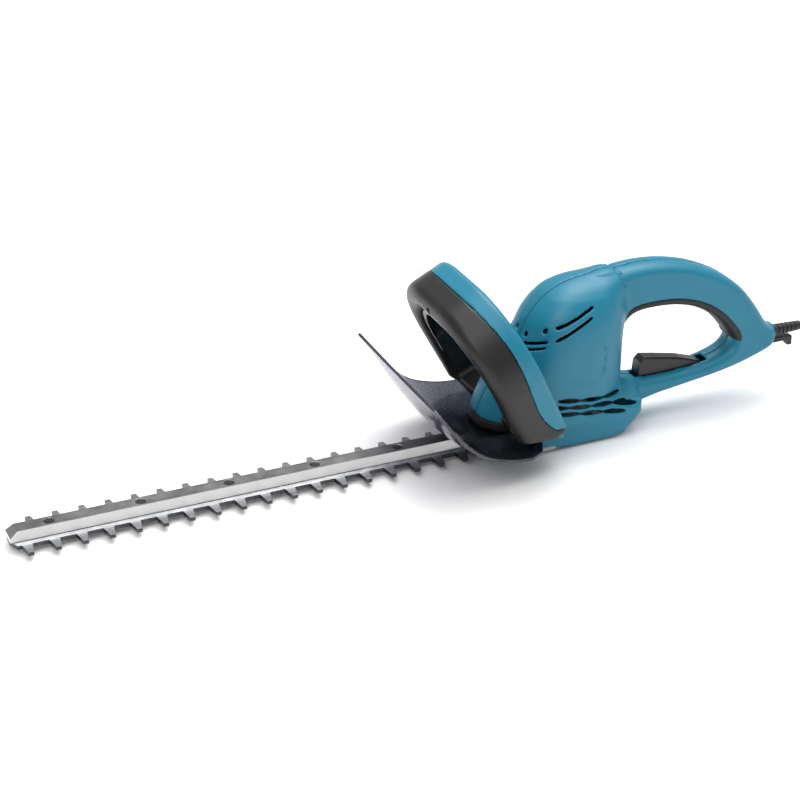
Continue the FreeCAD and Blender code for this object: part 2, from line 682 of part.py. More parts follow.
def trigger():
    """Long rocker, tall at its front end, that turns on a pin at its rear."""
    outline = [(90, 46), (91.5, 63), (96, 67.5), (112, 64.5), (140, 58.5), (164, 50.5),
               (165, 41), (150, 40.5), (98, 41)]
    body = side_prism(outline, -TRIGGER_HALF_WIDTH, TRIGGER_HALF_WIDTH)
    top = [e for e in body.Edges if e.BoundBox.ZMin > 50 and e.BoundBox.YLength < 0.1]
    body = body.makeFillet(2.2, top)
    hole = cylinder(TRIGGER_PIN_R + FIT_CLEARANCE, 40, V(TRIGGER_PIVOT_X, -20, TRIGGER_PIVOT_Z), Y_AXIS)
    return body.cut(hole)


def trigger_pin(grow=0.0):
    half = TRIGGER_HALF_WIDTH + TRIGGER_PIN_SEAT + grow
    return cylinder(TRIGGER_PIN_R + grow, 2 * half, V(TRIGGER_PIVOT_X, -half, TRIGGER_PIVOT_Z),
                    Y_AXIS)


def coil_spring(r, wire_r, height, turns, at, axis=Z_AXIS):
    helix = Part.makeHelix(height / turns, height, r)
    profile = Part.Wire([Part.makeCircle(wire_r, V(r, 0, 0), Y_AXIS)])
    spring = Part.Wire(helix.Edges).makePipeShell([profile], True, True)
    spring.Placement = FreeCAD.Placement(at, FreeCAD.Rotation(Z_AXIS, axis))
    return spring


def rear_switch():
    return box(90, 116, -8, 8, 29.0, 35.5)


# ---------------------------------------------------------------- front loop handle

LEAN = math.radians(LOOP_LEAN)
DRAW_IN = math.radians(LEG_DRAW_IN)
LOOP_UP = V(-math.sin(LEAN), 0, math.cos(LEAN))
LOOP_BACK = V(math.cos(LEAN), 0, math.sin(LEAN))
LOOP_ROOT = V(LOOP_ROOT_X, 0, LOOP_ROOT_Z)


def leg_half(half, top, corner, up):
    """Half width of an arch's outline at one height of its legs, which draw in towards the feet."""
    touch = top - corner - corner * math.sin(DRAW_IN)
    return half - corner + corner * math.cos(DRAW_IN) - (touch - up) * math.tan(DRAW_IN)


def loop_wire(half, top, corner, depth, low=-60.0):
    """Tall arch in the loop's own plane: legs, two corners and a crown."""
    def place(y, t):
        return LOOP_ROOT + LOOP_UP * t + LOOP_BACK * depth + Y_AXIS * y

    touch_t = top - corner - corner * math.sin(DRAW_IN)
    touch, foot = (leg_half(half, top, corner, t) for t in (touch_t, low))
    middle = (math.pi / 2 - DRAW_IN) / 2
    mid_y, mid_t = half - corner + corner * math.cos(middle), top - corner + corner * math.sin(middle)
    edges = [
        Part.LineSegment(place(-foot, low), place(-touch, touch_t)).toShape(),
        Part.Arc(place(-touch, touch_t), place(-mid_y, mid_t), place(corner - half, top)).toShape(),
        Part.LineSegment(place(corner - half, top), place(half - corner, top)).toShape(),
        Part.Arc(place(half - corner, top), place(mid_y, mid_t), place(touch, touch_t)).toShape(),
        Part.LineSegment(place(touch, touch_t), place(foot, low)).toShape(),
        Part.LineSegment(place(foot, low), place(-foot, low)).toShape(),
    ]
    return Part.Wire(edges)


def loop_band(inset_out, inset_in, depth0, depth1):
    """Arch-shaped band between two insets from the loop's outside."""
    outer = Part.Face(loop_wire(LOOP_HALF_WIDTH - inset_out, LOOP_HEIGHT - inset_out,
                                LOOP_CORNER_R - inset_out, depth0))
    inner = Part.Face(loop_wire(LOOP_HALF_WIDTH - inset_in, LOOP_HEIGHT - inset_in,
                                LOOP_CORNER_R - inset_in, depth0, -61.0))
    return outer.cut(inner).extrude(LOOP_BACK * (depth1 - depth0))


def rounded_band(band, r, depth, tolerance=0.2):
    """Rounds the band's edges that lie in one plane of depth."""
    chosen = []
    for e in band.Edges:
        spots = [e.valueAt(e.FirstParameter + (e.LastParameter - e.FirstParameter) * f)
                 for f in (0.0, 0.5, 1.0)]
        flat = all(abs((p - LOOP_ROOT).dot(LOOP_BACK) - depth) < tolerance for p in spots)
        if flat and not all((p - LOOP_ROOT).dot(LOOP_UP) < -50 for p in spots):
            chosen.append(e)
    return band.makeFillet(r, chosen)


def foot_trim(z):
    return box(-400, 400, -200, 200, z, 400)


def cross_foot(depth0, depth1):
    """Bar that joins each leg to the body's side, low down in the loop's plane."""
    pieces = []
    for side in (-1, 1):
        y0, y1 = (-80, -30) if side < 0 else (30, 80)
        corners = [LOOP_ROOT + LOOP_UP * t + LOOP_BACK * depth0 + Y_AXIS * y
                   for y, t in ((y0, -40), (y1, -40), (y1, 12), (y0, 12))]
        pieces.append(prism(corners, LOOP_BACK * (depth1 - depth0)))
    return pieces


def handle_toe(y0):
    """Rounded sole of the black cover that wraps under the rear shell's foot."""
    x = LOOP_ROOT_X + TOE_BACK
    sole = box(x - 26, x, y0, y0 + TOE_LENGTH, LOOP_FOOT_Z, LOOP_FOOT_Z + 2 * TOE_R)
    return sole.fuse(cylinder(TOE_R, TOE_LENGTH, V(x, y0, LOOP_FOOT_Z + TOE_R), Y_AXIS))


def front_handle(outer_body):
    """The black front cover and the coloured rear shell, as two halves of one loop."""
    cover = rounded_band(loop_band(0, LOOP_BAR, -COVER_DEPTH, 0), 8.0, -COVER_DEPTH)
    shell = rounded_band(loop_band(0, LOOP_BAR, 0, SHELL_DEPTH), 6.0, SHELL_DEPTH)
    keep_out = outer_body
    foot = leg_half(LOOP_HALF_WIDTH, LOOP_HEIGHT, LOOP_CORNER_R, 0)
    toes = [handle_toe(y) for y in (-foot + 1, foot - 1 - TOE_LENGTH)]
    cover = fused([cover.common(foot_trim(LOOP_FOOT_Z))] + toes
                  + [f.common(foot_trim(CROSS_FOOT_Z)) for f in cross_foot(-COVER_DEPTH + 4, 0)])
    shell = fused([shell.common(foot_trim(LOOP_FOOT_Z))]
                  + [f.common(foot_trim(CROSS_FOOT_Z)) for f in cross_foot(0, SHELL_DEPTH - 4)])
    tools = [keep_out] + guard_screw_holes()
    cover, shell = cover.cut(tools), shell.cut(toes + tools)
    switch_room = loop_point_box(-12, 12, LOOP_HEIGHT - LOOP_BAR - 1, LOOP_HEIGHT - 8, -10, 10)
    return cover.cut(switch_room), shell.cut(switch_room)


def loop_point_box(y0, y1, t0, t1, depth0, depth1):
    """A box in the loop's own directions."""
    corners = [LOOP_ROOT + LOOP_UP * t + LOOP_BACK * depth0 + Y_AXIS * y
               for y, t in ((y0, t0), (y1, t0), (y1, t1), (y0, t1))]
    return prism(corners, LOOP_BACK * (depth1 - depth0))


def front_lever():
    """Sprung bar inside the loop's crown that the hand squeezes towards the crown."""
    drop = LEVER_TRAVEL + LEVER_GAP
    half = LOOP_HALF_WIDTH - LOOP_BAR - LEVER_GAP - drop * math.tan(DRAW_IN)
    top = LOOP_HEIGHT - LOOP_BAR - drop
    corner = LOOP_CORNER_R - LOOP_BAR - LEVER_GAP
    outer = Part.Face(loop_wire(half, top, corner, -COVER_DEPTH + 5))
    inner = Part.Face(loop_wire(half - LEVER_THICK, top - LEVER_THICK, corner - LEVER_THICK,
                                -COVER_DEPTH + 5, -61.0))
    band = outer.cut(inner).extrude(LOOP_BACK * (COVER_DEPTH + 5))
    return band.common(loop_point_box(-200, 200, LEVER_LOW, 300, -100, 100))


def front_switch():
    return loop_point_box(-11, 11, LOOP_HEIGHT - LOOP_BAR + 3, LOOP_HEIGHT - 9, -9, 9)


def loop_screws():
    """Self-tapping screws through the cover, seen as dark recesses."""
    half = leg_half(LOOP_HALF_WIDTH, LOOP_HEIGHT, LOOP_CORNER_R, LEG_SCREW_UP)
    legs = [(s * (half - LOOP_BAR / 2), LEG_SCREW_UP) for s in (-1, 1)]
    return [(0, LOOP_HEIGHT - LOOP_BAR / 2 + 2)] + legs


def loop_screw_solids(grow=0.0, lift=0.0):
    shapes = []
    for y, t in loop_screws():
        at = LOOP_ROOT + LOOP_UP * t + Y_AXIS * y
        head = cylinder(3.2 + grow, 3.0 + lift, at - LOOP_BACK * (COVER_DEPTH - 4 + lift), LOOP_BACK)
        shapes.append(head)
    return shapes


# ---------------------------------------------------------------- guard

def guard_profile(y):
    """Side profile of the guard's front face at one Y: flared rims, a fuller middle."""
    f = (y / GUARD_HALF_WIDTH) ** 2
    rim = [(-182, 104), (-163, 77), (-146, 57), (-125, 40), (-107, 33), (-78, 28), (-52, 30.5)]
    middle = [(-182.5, 104), (-172, 77), (-157, 56), (-138, 36), (-122, 27), (-92, 24), (-52, 24)]
    return [(m[0] + (r[0] - m[0]) * f, m[1] + (r[1] - m[1]) * f) for r, m in zip(rim, middle)]


def guard_section(y):
    """Closed thin section: front curve, end, rear curve, end."""
    front = guard_profile(y)
    rear = []
    for i, (x, z) in enumerate(front):
        x0, z0 = front[max(i - 1, 0)]
        x1, z1 = front[min(i + 1, len(front) - 1)]
        n = math.hypot(x1 - x0, z1 - z0)
        rear.append((x - (z1 - z0) / n * GUARD_THICK, z + (x1 - x0) / n * GUARD_THICK))
    a, b = Part.BSplineCurve(), Part.BSplineCurve()
    a.interpolate([V(x, y, z) for x, z in front])
    b.interpolate([V(x, y, z) for x, z in reversed(rear)])
    ends = [Part.LineSegment(V(front[-1][0], y, front[-1][1]), V(rear[-1][0], y, rear[-1][1])),
            Part.LineSegment(V(rear[0][0], y, rear[0][1]), V(front[0][0], y, front[0][1]))]
    return Part.Wire([a.toShape(), ends[0].toShape(), b.toShape(), ends[1].toShape()])


def hand_guard(outer_body):
    ys = [GUARD_HALF_WIDTH * k / 4 for k in range(-4, 5)]
    sheet = Part.makeLoft([guard_section(y) for y in ys], True, False)
    holes = [cylinder(GUARD_SCREW_R + 0.1, 60, V(x, y, 0)) for x, y in guard_screw_places()]
    around_case = cylinder(CASE_HALF + RUNNING_CLEARANCE, 60, V(CRANK_X, 0, 0))
    return sheet.common(guard_plan()).cut([outer_body, around_case] + holes)


def guard_screw_places():
    return [(-58, -60), (-58, 60)]


def guard_screw_holes():
    return [cylinder(GUARD_SCREW_R + FIT_CLEARANCE, 30, V(x, y, 20)) for x, y in guard_screw_places()]


def guard_screws():
    """Pan-head screws up through the guard's lip into the handle's feet."""
    screws = []
    for x, y in guard_screw_places():
        head = cylinder(4.2, 2.2, V(x, y, GUARD_SCREW_Z))
        screws.append(head.fuse(cylinder(GUARD_SCREW_R, 22, V(x, y, GUARD_SCREW_Z))))
    return group(screws)


def guard_plan():
    """Trims the guard's rear lip to rounded corners."""
    w = GUARD_HALF_WIDTH + 1
    outline = [(-250, -w), (-75, -w), (-60, -w + 8), (-51, -w + 26), (-51, w - 26), (-60, w - 8),
               (-75, w), (-250, w)]
    return plan_prism(outline, -10, 300)


# ---------------------------------------------------------------- mains lead

def cord_points():
    return [V(CORD_START_X + x, y, z) for x, y, z in CORD_ROUTE]


def cord_tube():
    """Straight runs joined by tangent arcs, swept with a round section."""
    points = cord_points()
    edges, length, at = [], 0.0, points[0]
    for before, corner, after in zip(points, points[1:], points[2:]):
        a, b = corner - before, after - corner
        run = min(a.Length, b.Length)
        turn = a.getAngle(b)
        trim = 0.45 * run
        radius = trim / math.tan(turn / 2)
        start = corner - a.normalize() * trim
        end = corner + b.normalize() * trim
        bisector = (start - corner) + (end - corner)
        to_centre = radius / math.cos(turn / 2)
        middle = corner + bisector.normalize() * (to_centre - radius)
        edges.append(Part.LineSegment(at, start).toShape())
        edges.append(Part.Arc(start, middle, end).toShape())
        length += (start - at).Length + radius * turn
        print("cord bend radius", round(radius, 1))
        at = end
    edges.append(Part.LineSegment(at, points[-1]).toShape())
    length += (points[-1] - at).Length
    path = Part.Wire(edges)
    direction = (points[1] - points[0]).normalize()
    section = Part.Wire([Part.makeCircle(CORD_D / 2, points[0], direction)])
    tube = path.makePipeShell([section], True, False)
    expected = math.pi * (CORD_D / 2) ** 2 * length
    print("cord length", round(length, 1), "volume over section x length",
          round(tube.Volume / expected, 4))
    return tube


def cord_boot():
    """Ribbed taper that eases the lead's bend at the handle."""
    end_r = CORD_D / 2 + 1.2
    cone = Part.makeCone(6.6, end_r, BOOT_LENGTH, V(OUTLET_X, 0, OUTLET_Z), X_AXIS)
    grooves = [ring(12, 5.4 - 0.2 * k, 1.6, V(OUTLET_X + 7 + 5.2 * k, 0, OUTLET_Z), X_AXIS)
               for k in range(5)]
    root = cylinder(BOOT_ROOT_R, 12, V(OUTLET_X - 12, 0, OUTLET_Z), X_AXIS)
    return fused([cone.cut(grooves), root])


def cord_clamp():
    return box(OUTLET_X - 26, OUTLET_X - 18, -9, 9, OUTLET_Z - 13, OUTLET_Z - 8)


def cord_hook():
    """Hook below the boot that holds an extension lead's loop."""
    x, z = OUTLET_X - 4, OUTLET_Z - 9
    arm = box(x, x + 30, -4, 4, z - 4, z)
    tip = box(x + 25, x + 30, -4, 4, z - 10, z)
    return fused([arm, tip])


def cord_hook_seat():
    """Pocket in the shells that the hook's root is held in."""
    x, z = OUTLET_X - 4, OUTLET_Z - 9
    return box(x - 0.1, x + 31, -4.1, 4.1, z - 4.1, z + 0.1)


def plug_frame():
    """Start and direction of the plug at the lead's free end."""
    points = cord_points()
    return points[-1], (points[-1] - points[-2]).normalize()


def plug_body():
    """Moulded grip that carries the pins."""
    end, way = plug_frame()
    side = way.cross(Z_AXIS)
    corners = [end + way * 0.2 + side * -5, end + way * 20 + side * -17, end + way * 42 + side * -17,
               end + way * 42 + side * 17, end + way * 20 + side * 17, end + way * 0.2 + side * 5]
    base = [V(p.x, p.y, 0.2) for p in corners]
    body = prism(base, V(0, 0, 13))
    flats = [e for e in body.Edges if e.BoundBox.ZLength < 0.1]
    return body.makeFillet(2.5, flats)


def plug_pins():
    end, way = plug_frame()
    side = way.cross(Z_AXIS)
    pins = []
    for s in (-9.5, 9.5):
        at = end + way * 42 + side * s
        pins.append(cylinder(2.4, 19, V(at.x, at.y, 6.7), way))
    return group(pins)


# ---------------------------------------------------------------- assembly

def main():
    os.makedirs("parts", exist_ok=True)
    save("shear_blade_lower", blade(LOWER_BLADE_Z))
    save("shear_blade_upper", blade(UPPER_BLADE_Z))
    save("guide_bar", guide_bar())
    save("blade_bolts", blade_bolts())
    save("blade_nuts", blade_nuts())
    save("crank_gear", crank_gear())
    save("crankshaft", crankshaft())
    save("gear_case", gear_case())
    save("base_plate", base_plate())
    save("base_plate_screws", plate_screws())
    save("crankshaft_bush", lower_bush())
    save("crankshaft_bearing",
         ball_bearing(BEARING_R, SHAFT_R + 0.05, BEARING_THICK, V(CRANK_X, 0, CAVITY_TOP_Z)))
    save("armature_lower_bearing",
         ball_bearing(BEARING_R, SHAFT_R + 0.05, BEARING_THICK, V(ARMATURE_X, 0, CAVITY_TOP_Z)))
    save("armature_upper_bearing", ball_bearing(9.5, SHAFT_R + 0.05, 6, V(ARMATURE_X, 0, UPPER_BEARING_Z)))
    save("armature_shaft", armature_shaft())
    save("armature_core", armature_core())
    save("armature_windings", armature_windings())
    save("commutator", commutator())
    save("cooling_fan", cooling_fan())
    save("stator_core", stator_core())
    save("field_windings", field_windings())
    save("fan_baffle", fan_baffle())
    save("brush_holders", group([brush_holder(), mirrored(brush_holder())]))
    save("carbon_brushes", group([brush(), mirrored(brush())]))
    outer, halves = housing()
    for name, half in halves.items():
        save(name, half)
    save("grip_liner", grip_liner())
    save("trigger", trigger())
    save("trigger_pin", trigger_pin())
    save("rear_switch", rear_switch())
    cover, shell = front_handle(outer)
    save("front_handle_cover", cover.cut(loop_screw_solids(0.3, 5.0)))
    save("front_handle_shell", shell)
    save("front_lever", front_lever())
    save("front_switch", front_switch())
    save("front_handle_screws", group(loop_screw_solids()))
    save("hand_guard", hand_guard(outer))
    save("guard_screws", guard_screws())
    save("housing_screws", housing_screws())
    save("capacitor", box(112, 136, -8, 8, 142, 154))
    save("trigger_spring", coil_spring(3.0, 0.5, 4.2, 4, V(104, 0, 36.1)))
    save("mains_lead", cord_tube())
    save("cord_boot", cord_boot())
    save("cord_clamp", cord_clamp())
    save("cord_hook", cord_hook())
    save("plug_body", plug_body())
    save("plug_pins", plug_pins())


main()
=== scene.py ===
import math

import bpy
import numpy as np
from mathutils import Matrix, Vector


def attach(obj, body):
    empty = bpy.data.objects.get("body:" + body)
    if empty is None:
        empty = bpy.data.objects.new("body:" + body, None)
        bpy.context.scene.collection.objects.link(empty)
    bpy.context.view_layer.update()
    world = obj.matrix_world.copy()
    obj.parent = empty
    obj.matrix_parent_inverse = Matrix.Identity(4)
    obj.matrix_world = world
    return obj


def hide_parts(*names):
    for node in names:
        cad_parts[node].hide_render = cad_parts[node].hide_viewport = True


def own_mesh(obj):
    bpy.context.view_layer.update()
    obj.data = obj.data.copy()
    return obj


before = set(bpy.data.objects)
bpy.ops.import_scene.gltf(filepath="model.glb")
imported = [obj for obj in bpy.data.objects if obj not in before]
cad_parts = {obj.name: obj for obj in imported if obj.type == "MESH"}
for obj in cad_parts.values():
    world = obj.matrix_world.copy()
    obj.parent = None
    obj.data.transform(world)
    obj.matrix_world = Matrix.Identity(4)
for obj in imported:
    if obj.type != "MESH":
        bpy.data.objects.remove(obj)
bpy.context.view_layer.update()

# ---- Camera
# A long lens, well back and above, looking down along the blades from the near front side.

camera = bpy.data.objects.new("camera", bpy.data.cameras.new("camera"))
bpy.context.scene.collection.objects.link(camera)
bpy.context.scene.camera = camera
camera.data.lens = 92.7
camera.data.clip_end = 20
camera.location = (-0.900, -1.648, 1.008)
camera.rotation_mode = "QUATERNION"
camera.rotation_quaternion = Vector((0.3570, 0.8122, -0.4614)).to_track_quat("-Z", "Y")

# ---- Mains lead
# A short two-core lead in black PVC, extruded round and slightly glossy. It comes out of the boot
# at the back, drops to the ground and lies there in one loose bend, up to its moulded plug.

LEAD_DIAMETER = 0.0075
LEAD_ROUTE = [
    (0.289, 0, 0.065), (0.309, 0, 0.065), (0.331, -0.001, 0.057), (0.352, -0.003, 0.042),
    (0.372, -0.008, 0.024), (0.393, -0.017, 0.010), (0.415, -0.033, 0.0038),
    (0.430, -0.056, 0.0038), (0.433, -0.083, 0.0038), (0.422, -0.108, 0.0038),
    (0.400, -0.125, 0.0038), (0.373, -0.130, 0.0038), (0.347, -0.126, 0.0038),
]


def linear(code):
    """An sRGB hex colour as linear red, green, blue and alpha."""
    parts = [int(code[i:i + 2], 16) / 255 for i in (1, 3, 5)]
    return [c / 12.92 if c <= 0.04045 else ((c + 0.055) / 1.055) ** 2.4 for c in parts] + [1.0]


def add(material, kind, inputs, **settings):
    """Adds a node to a material. Each input is a value, or another node's output to link."""
    node = material.node_tree.nodes.new(kind)
    for name, value in settings.items():
        setattr(node, name, value)
    for name, value in inputs.items():
        if isinstance(value, bpy.types.NodeSocket):
            material.node_tree.links.new(value, node.inputs[name])
        else:
            node.inputs[name].default_value = value
    return node


def finish_named(name, dark, light, rough, grain_mm, relief_mm, drift_mm=45.0, **surface):
    """A moulded or machined finish: two near colours that drift over the piece, a fine grain that
    gives the bump, and a roughness that wanders between two values with the grain."""
    m = bpy.data.materials.new(name)
    m.use_nodes = True
    m.node_tree.nodes.clear()
    spot = add(m, "ShaderNodeTexCoord", {}).outputs["Object"]
    drift = add(m, "ShaderNodeTexNoise", {"Vector": spot, "Scale": 1000 / drift_mm, "Detail": 3.0})
    grain = add(m, "ShaderNodeTexNoise", {"Vector": spot, "Scale": 1000 / grain_mm, "Detail": 2.0})
    colour = add(m, "ShaderNodeMix", {0: drift.outputs["Fac"], 6: linear(dark), 7: linear(light)},
                 data_type="RGBA")
    gloss = add(m, "ShaderNodeMapRange", {"Value": grain.outputs["Fac"], "From Min": 0.3,
                                          "From Max": 0.7, "To Min": rough[0], "To Max": rough[1]})
    bump = add(m, "ShaderNodeBump", {"Height": grain.outputs["Fac"], "Strength": 1.0,
                                     "Distance": relief_mm / 1000})
    shader = add(m, "ShaderNodeBsdfPrincipled", {
        "Base Color": colour.outputs[2], "Roughness": gloss.outputs["Result"],
        "Normal": bump.outputs["Normal"], **surface})
    add(m, "ShaderNodeOutputMaterial", {"Surface": shader.outputs["BSDF"]})
    return m


# PVC cable sheath: extruded, so nearly smooth, with a soft wide highlight.
lead_sheath = finish_named("lead_pvc_sheath", "#151515", "#242424", (0.32, 0.42), 2.0, 0.02)

line = bpy.data.curves.new("mains_lead", "CURVE")
line.dimensions = "3D"
run = line.splines.new("NURBS")
run.points.add(len(LEAD_ROUTE) - 1)
for point, place in zip(run.points, LEAD_ROUTE):
    point.co = (*place, 1)
run.order_u = 3
run.use_endpoint_u = True
line.resolution_u = 16
line.bevel_depth = LEAD_DIAMETER / 2
line.bevel_resolution = 6
line.use_fill_caps = True
line.materials.append(lead_sheath)
mains_lead = bpy.data.objects.new("mains_lead_flex", line)
bpy.context.scene.collection.objects.link(mains_lead)
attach(mains_lead, "housing")
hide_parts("mains_lead")

# ---- Floor and light
# A plain white floor under an even ceiling light, with a large soft lamp above and behind, and a
# weaker one to the upper left that gives the near sides their highlights.

floor_finish = finish_named("studio_floor", "#F6F6F6", "#FAFAFA", (0.85, 0.9), 3.0, 0.01)
bpy.ops.mesh.primitive_plane_add(size=40)
floor = bpy.context.object
floor.name = "studio_floor"
floor.data.materials.append(floor_finish)

world = bpy.data.worlds.new("studio")
bpy.context.scene.world = world
world.use_nodes = True
world.node_tree.nodes["Background"].inputs["Color"].default_value = (1, 1, 1, 1)
world.node_tree.nodes["Background"].inputs["Strength"].default_value = 0.5
bpy.context.scene.view_settings.view_transform = "Standard"

LAMPS = [("window", (-1.6, -1.2, 2.4), 1.6, 24), ("top", (0.5, 0.9, 2.6), 1.8, 42)]
LAMPS_AIM = Vector((-0.15, 0, 0.08))
for name, place, size, power in LAMPS:
    lamp = bpy.data.objects.new(name, bpy.data.lights.new(name, "AREA"))
    lamp.data.size, lamp.data.energy = size, power
    lamp.location = place
    lamp.rotation_mode = "QUATERNION"
    lamp.rotation_quaternion = (LAMPS_AIM - Vector(place)).to_track_quat("-Z", "Y")
    bpy.context.scene.collection.objects.link(lamp)
ceiling = bpy.data.objects.new("ceiling_light", bpy.data.lights.new("ceiling_light", "SUN"))
ceiling.data.energy, ceiling.data.angle = 1.7, math.radians(70)
ceiling.rotation_euler = (math.radians(-8), math.radians(12), 0)
bpy.context.scene.collection.objects.link(ceiling)

# ---- Housing
# Two mirrored clam-shell halves in glass-filled nylon, injection moulded and screwed together on
# the middle plane. One skin runs from the motor's egg over the closed grip to the lead's outlet.

WALL = 2.8
SAMPLE = 1.35                  # mm between the samples that a moulded skin is drawn through
MOTOR_LEVELS = np.array([      # height, front, rear and half width of the motor's egg
    (28, -97, 58, 42), (46, -91, 60, 45), (70, -79, 62, 46), (96, -61, 62, 47), (119, -46, 62, 47),
    (137, -37, 62, 44), (150, -27, 61, 39), (160, -15, 59, 32), (167, 1, 56, 22),
    (171.5, 18, 50, 10)], float)
GRIP_OUTSIDE = [(34, 167), (60, 173), (89, 174.5), (118, 171.5), (149, 163), (180, 148), (206, 128),
                (225, 105), (239, 84), (249, 73), (252, 63), (246, 53), (224, 44.5), (198, 37.5),
                (172, 33), (134, 28), (108, 24.5), (84, 20), (58, 22), (36, 60), (28, 120)]
HAND_GAP = [(61, 64), (61, 104), (66, 119), (79, 127.5), (104, 129), (130, 126), (154, 118),
            (175, 104.5), (191, 88), (200, 73), (193, 59.5), (165, 50.5), (130, 47.5), (96, 47.5),
            (69, 51)]
FOOT_OUTLINE = [(-46, 0), (44, 0), (58, 3), (71, 15), (79, 24), (79, 40), (60, 42), (-46, 34)]
HOUSING_LINES = [               # line in side view, half width and depth of the groove
    ([(55, 190), (57, 176), (61, 160)], 1.5, 1.8),
    ([(22, 119), (27.5, 108), (29, 97), (28.5, 86), (25, 77)], 1.2, 1.2),
    ([(-13, 81), (2, 75), (17, 73)], 1.1, 0.9),
    ([(-32, 38), (0, 34), (24, 32.5), (72, 35)], 1.2, 0.6)]
UPPER_SLOTS = [((-22, 135.5), (15, 152), 1.5), ((-24, 124), (12.5, 142.5), 1.5)]
NOSE_VENTS = [                  # place, turn in plan, half length and half height
    ((-44.5, 10, 122.5), 1.15, (2.4, 2.2)), ((-33, 30, 131.5), 0.75, (2.4, 2.2)),
    ((-42.5, 24.5, 118), 0.95, (14.5, 1.3)), ((-43.5, 25, 112.5), 0.95, (14.5, 1.0))]


def smooth_ring(points, cuts=6):
    """A closed outline rounded through its points."""
    p = np.array(points, float)[:, None]
    a, c, d = (np.roll(p, s, 0) for s in (1, -1, -2))
    t = np.linspace(0, 1, cuts, endpoint=False)[None, :, None]
    ring = p + 0.5 * t * (c - a + t * (2 * a - 5 * p + 4 * c - d + t * (3 * (p - c) + d - a)))
    return ring.reshape(-1, 2)


def ring_distance(ring, x, z):
    """Distance from a closed outline in side view, negative inside it."""
    x, z = np.broadcast_arrays(np.asarray(x, float), np.asarray(z, float))
    nearest, inside = np.full(x.shape, 1e9), np.zeros(x.shape, bool)
    for (ax, az), (bx, bz) in zip(ring, np.roll(ring, -1, 0)):
        ex, ez = bx - ax, bz - az
        t = np.clip(((x - ax) * ex + (z - az) * ez) / max(ex * ex + ez * ez, 1e-9), 0, 1)
        nearest = np.minimum(nearest, (x - ax - t * ex) ** 2 + (z - az - t * ez) ** 2)
        inside ^= ((az > z) != (bz > z)) & (x < ax + (z - az) * ex / (ez if ez else 1e-9))
    return np.where(inside, -1, 1) * np.sqrt(nearest)


def through(knots, values, at):
    """A smooth run of values through its knots."""
    slopes = np.gradient(values, knots)
    at = np.clip(at, knots[0], knots[-1])
    i = np.clip(np.searchsorted(knots, at) - 1, 0, len(knots) - 2)
    h = knots[i + 1] - knots[i]
    t = (at - knots[i]) / h
    return ((1 + 2 * t) * (1 - t) ** 2 * values[i] + t * (1 - t) ** 2 * h * slopes[i]
            + t * t * (3 - 2 * t) * values[i + 1] + t * t * (t - 1) * h * slopes[i + 1])


def joined(a, b, soft):
    """Two solids moulded as one, with a fillet between them."""
    h = np.maximum(soft - np.abs(a - b), 0) / soft
    return np.minimum(a, b) - h * h * soft / 4


def without(a, b, soft=0.01):
    """Solid a with b taken out of it."""
    return -joined(-a, b, soft)


def block(x, y, z, low, high, r=0.0):
    """A box with rounded edges."""
    q = [np.abs(v - (l + h) / 2) - (h - l) / 2 + r for v, l, h in zip((x, y, z), low, high)]
    away = np.sqrt(sum(np.maximum(v, 0) ** 2 for v in q))
    return away + np.minimum(np.maximum(np.maximum(q[0], q[1]), q[2]), 0) - r


def slot_distance(x, z, start, end, half):
    """Distance from a round-ended slot drawn between two points in side view."""
    dx, dz = end[0] - start[0], end[1] - start[1]
    t = np.clip(((x - start[0]) * dx + (z - start[1]) * dz) / (dx * dx + dz * dz), 0, 1)
    return np.hypot(x - start[0] - t * dx, z - start[1] - t * dz) - half


def evened(field, step):
    """The same surface with distances that are true near it."""
    slope = np.sqrt(sum(g * g for g in np.gradient(field, step)))
    return field / np.clip(slope, 0.35, None)


def motor_egg(x, y, z):
    """The upright shell round the motor, from its levels' front, rear and half width."""
    front, rear, half = (through(MOTOR_LEVELS[:, 0], MOTOR_LEVELS[:, k], z) for k in (1, 2, 3))
    centre, reach = (front + rear) / 2, (rear - front) / 2
    round_by = 2.6
    along, across = np.abs((x - centre) / reach), np.abs(y / half)
    share = (along ** round_by + across ** round_by) ** (1 / round_by)
    egg = (share - 1) * np.minimum(reach, half)
    return without(egg, -np.maximum(z - 171.5, 28 - z), 5.0)


def grip(x, y, z, gap):
    """The closed rear handle: a side outline less the hand opening, rounded all round."""
    side = np.maximum(ring_distance(smooth_ring(GRIP_OUTSIDE), x, z), -gap)
    return (np.hypot(np.maximum(side + 9, 0) / 9, np.maximum(np.abs(y) - 4.5, 0) / 14) - 1) * 10


def foot(x, y, z):
    """The flat base under the motor that the machine stands on."""
    side = ring_distance(np.array(FOOT_OUTLINE, float), x, z)
    return np.hypot(np.maximum(side + 9, 0), np.maximum(np.abs(y) - 33, 0)) - 9


def outlet(x, y, z):
    """The collar that the lead's boot comes out of, with its shallow rings."""
    collar = 14 - (x - 231) * 4.5 / 22 + 0.5 * np.cos((x - 231) * 2 * np.pi / 7)
    return np.maximum(np.hypot(y, z - 65) - collar, np.maximum(x - 253, 225 - x))


def housing_skin(x, y, z):
    """The housing's outside, before its walls, openings and grooves."""
    gap = ring_distance(smooth_ring(HAND_GAP), x, z)
    solid = joined(joined(motor_egg(x, y, z), foot(x, y, z), 9), grip(x, y, z, gap), 12)
    solid = joined(solid, outlet(x, y, z), 6)
    return evened(np.broadcast_to(solid, np.broadcast_shapes(x.shape, y.shape, z.shape)), SAMPLE)


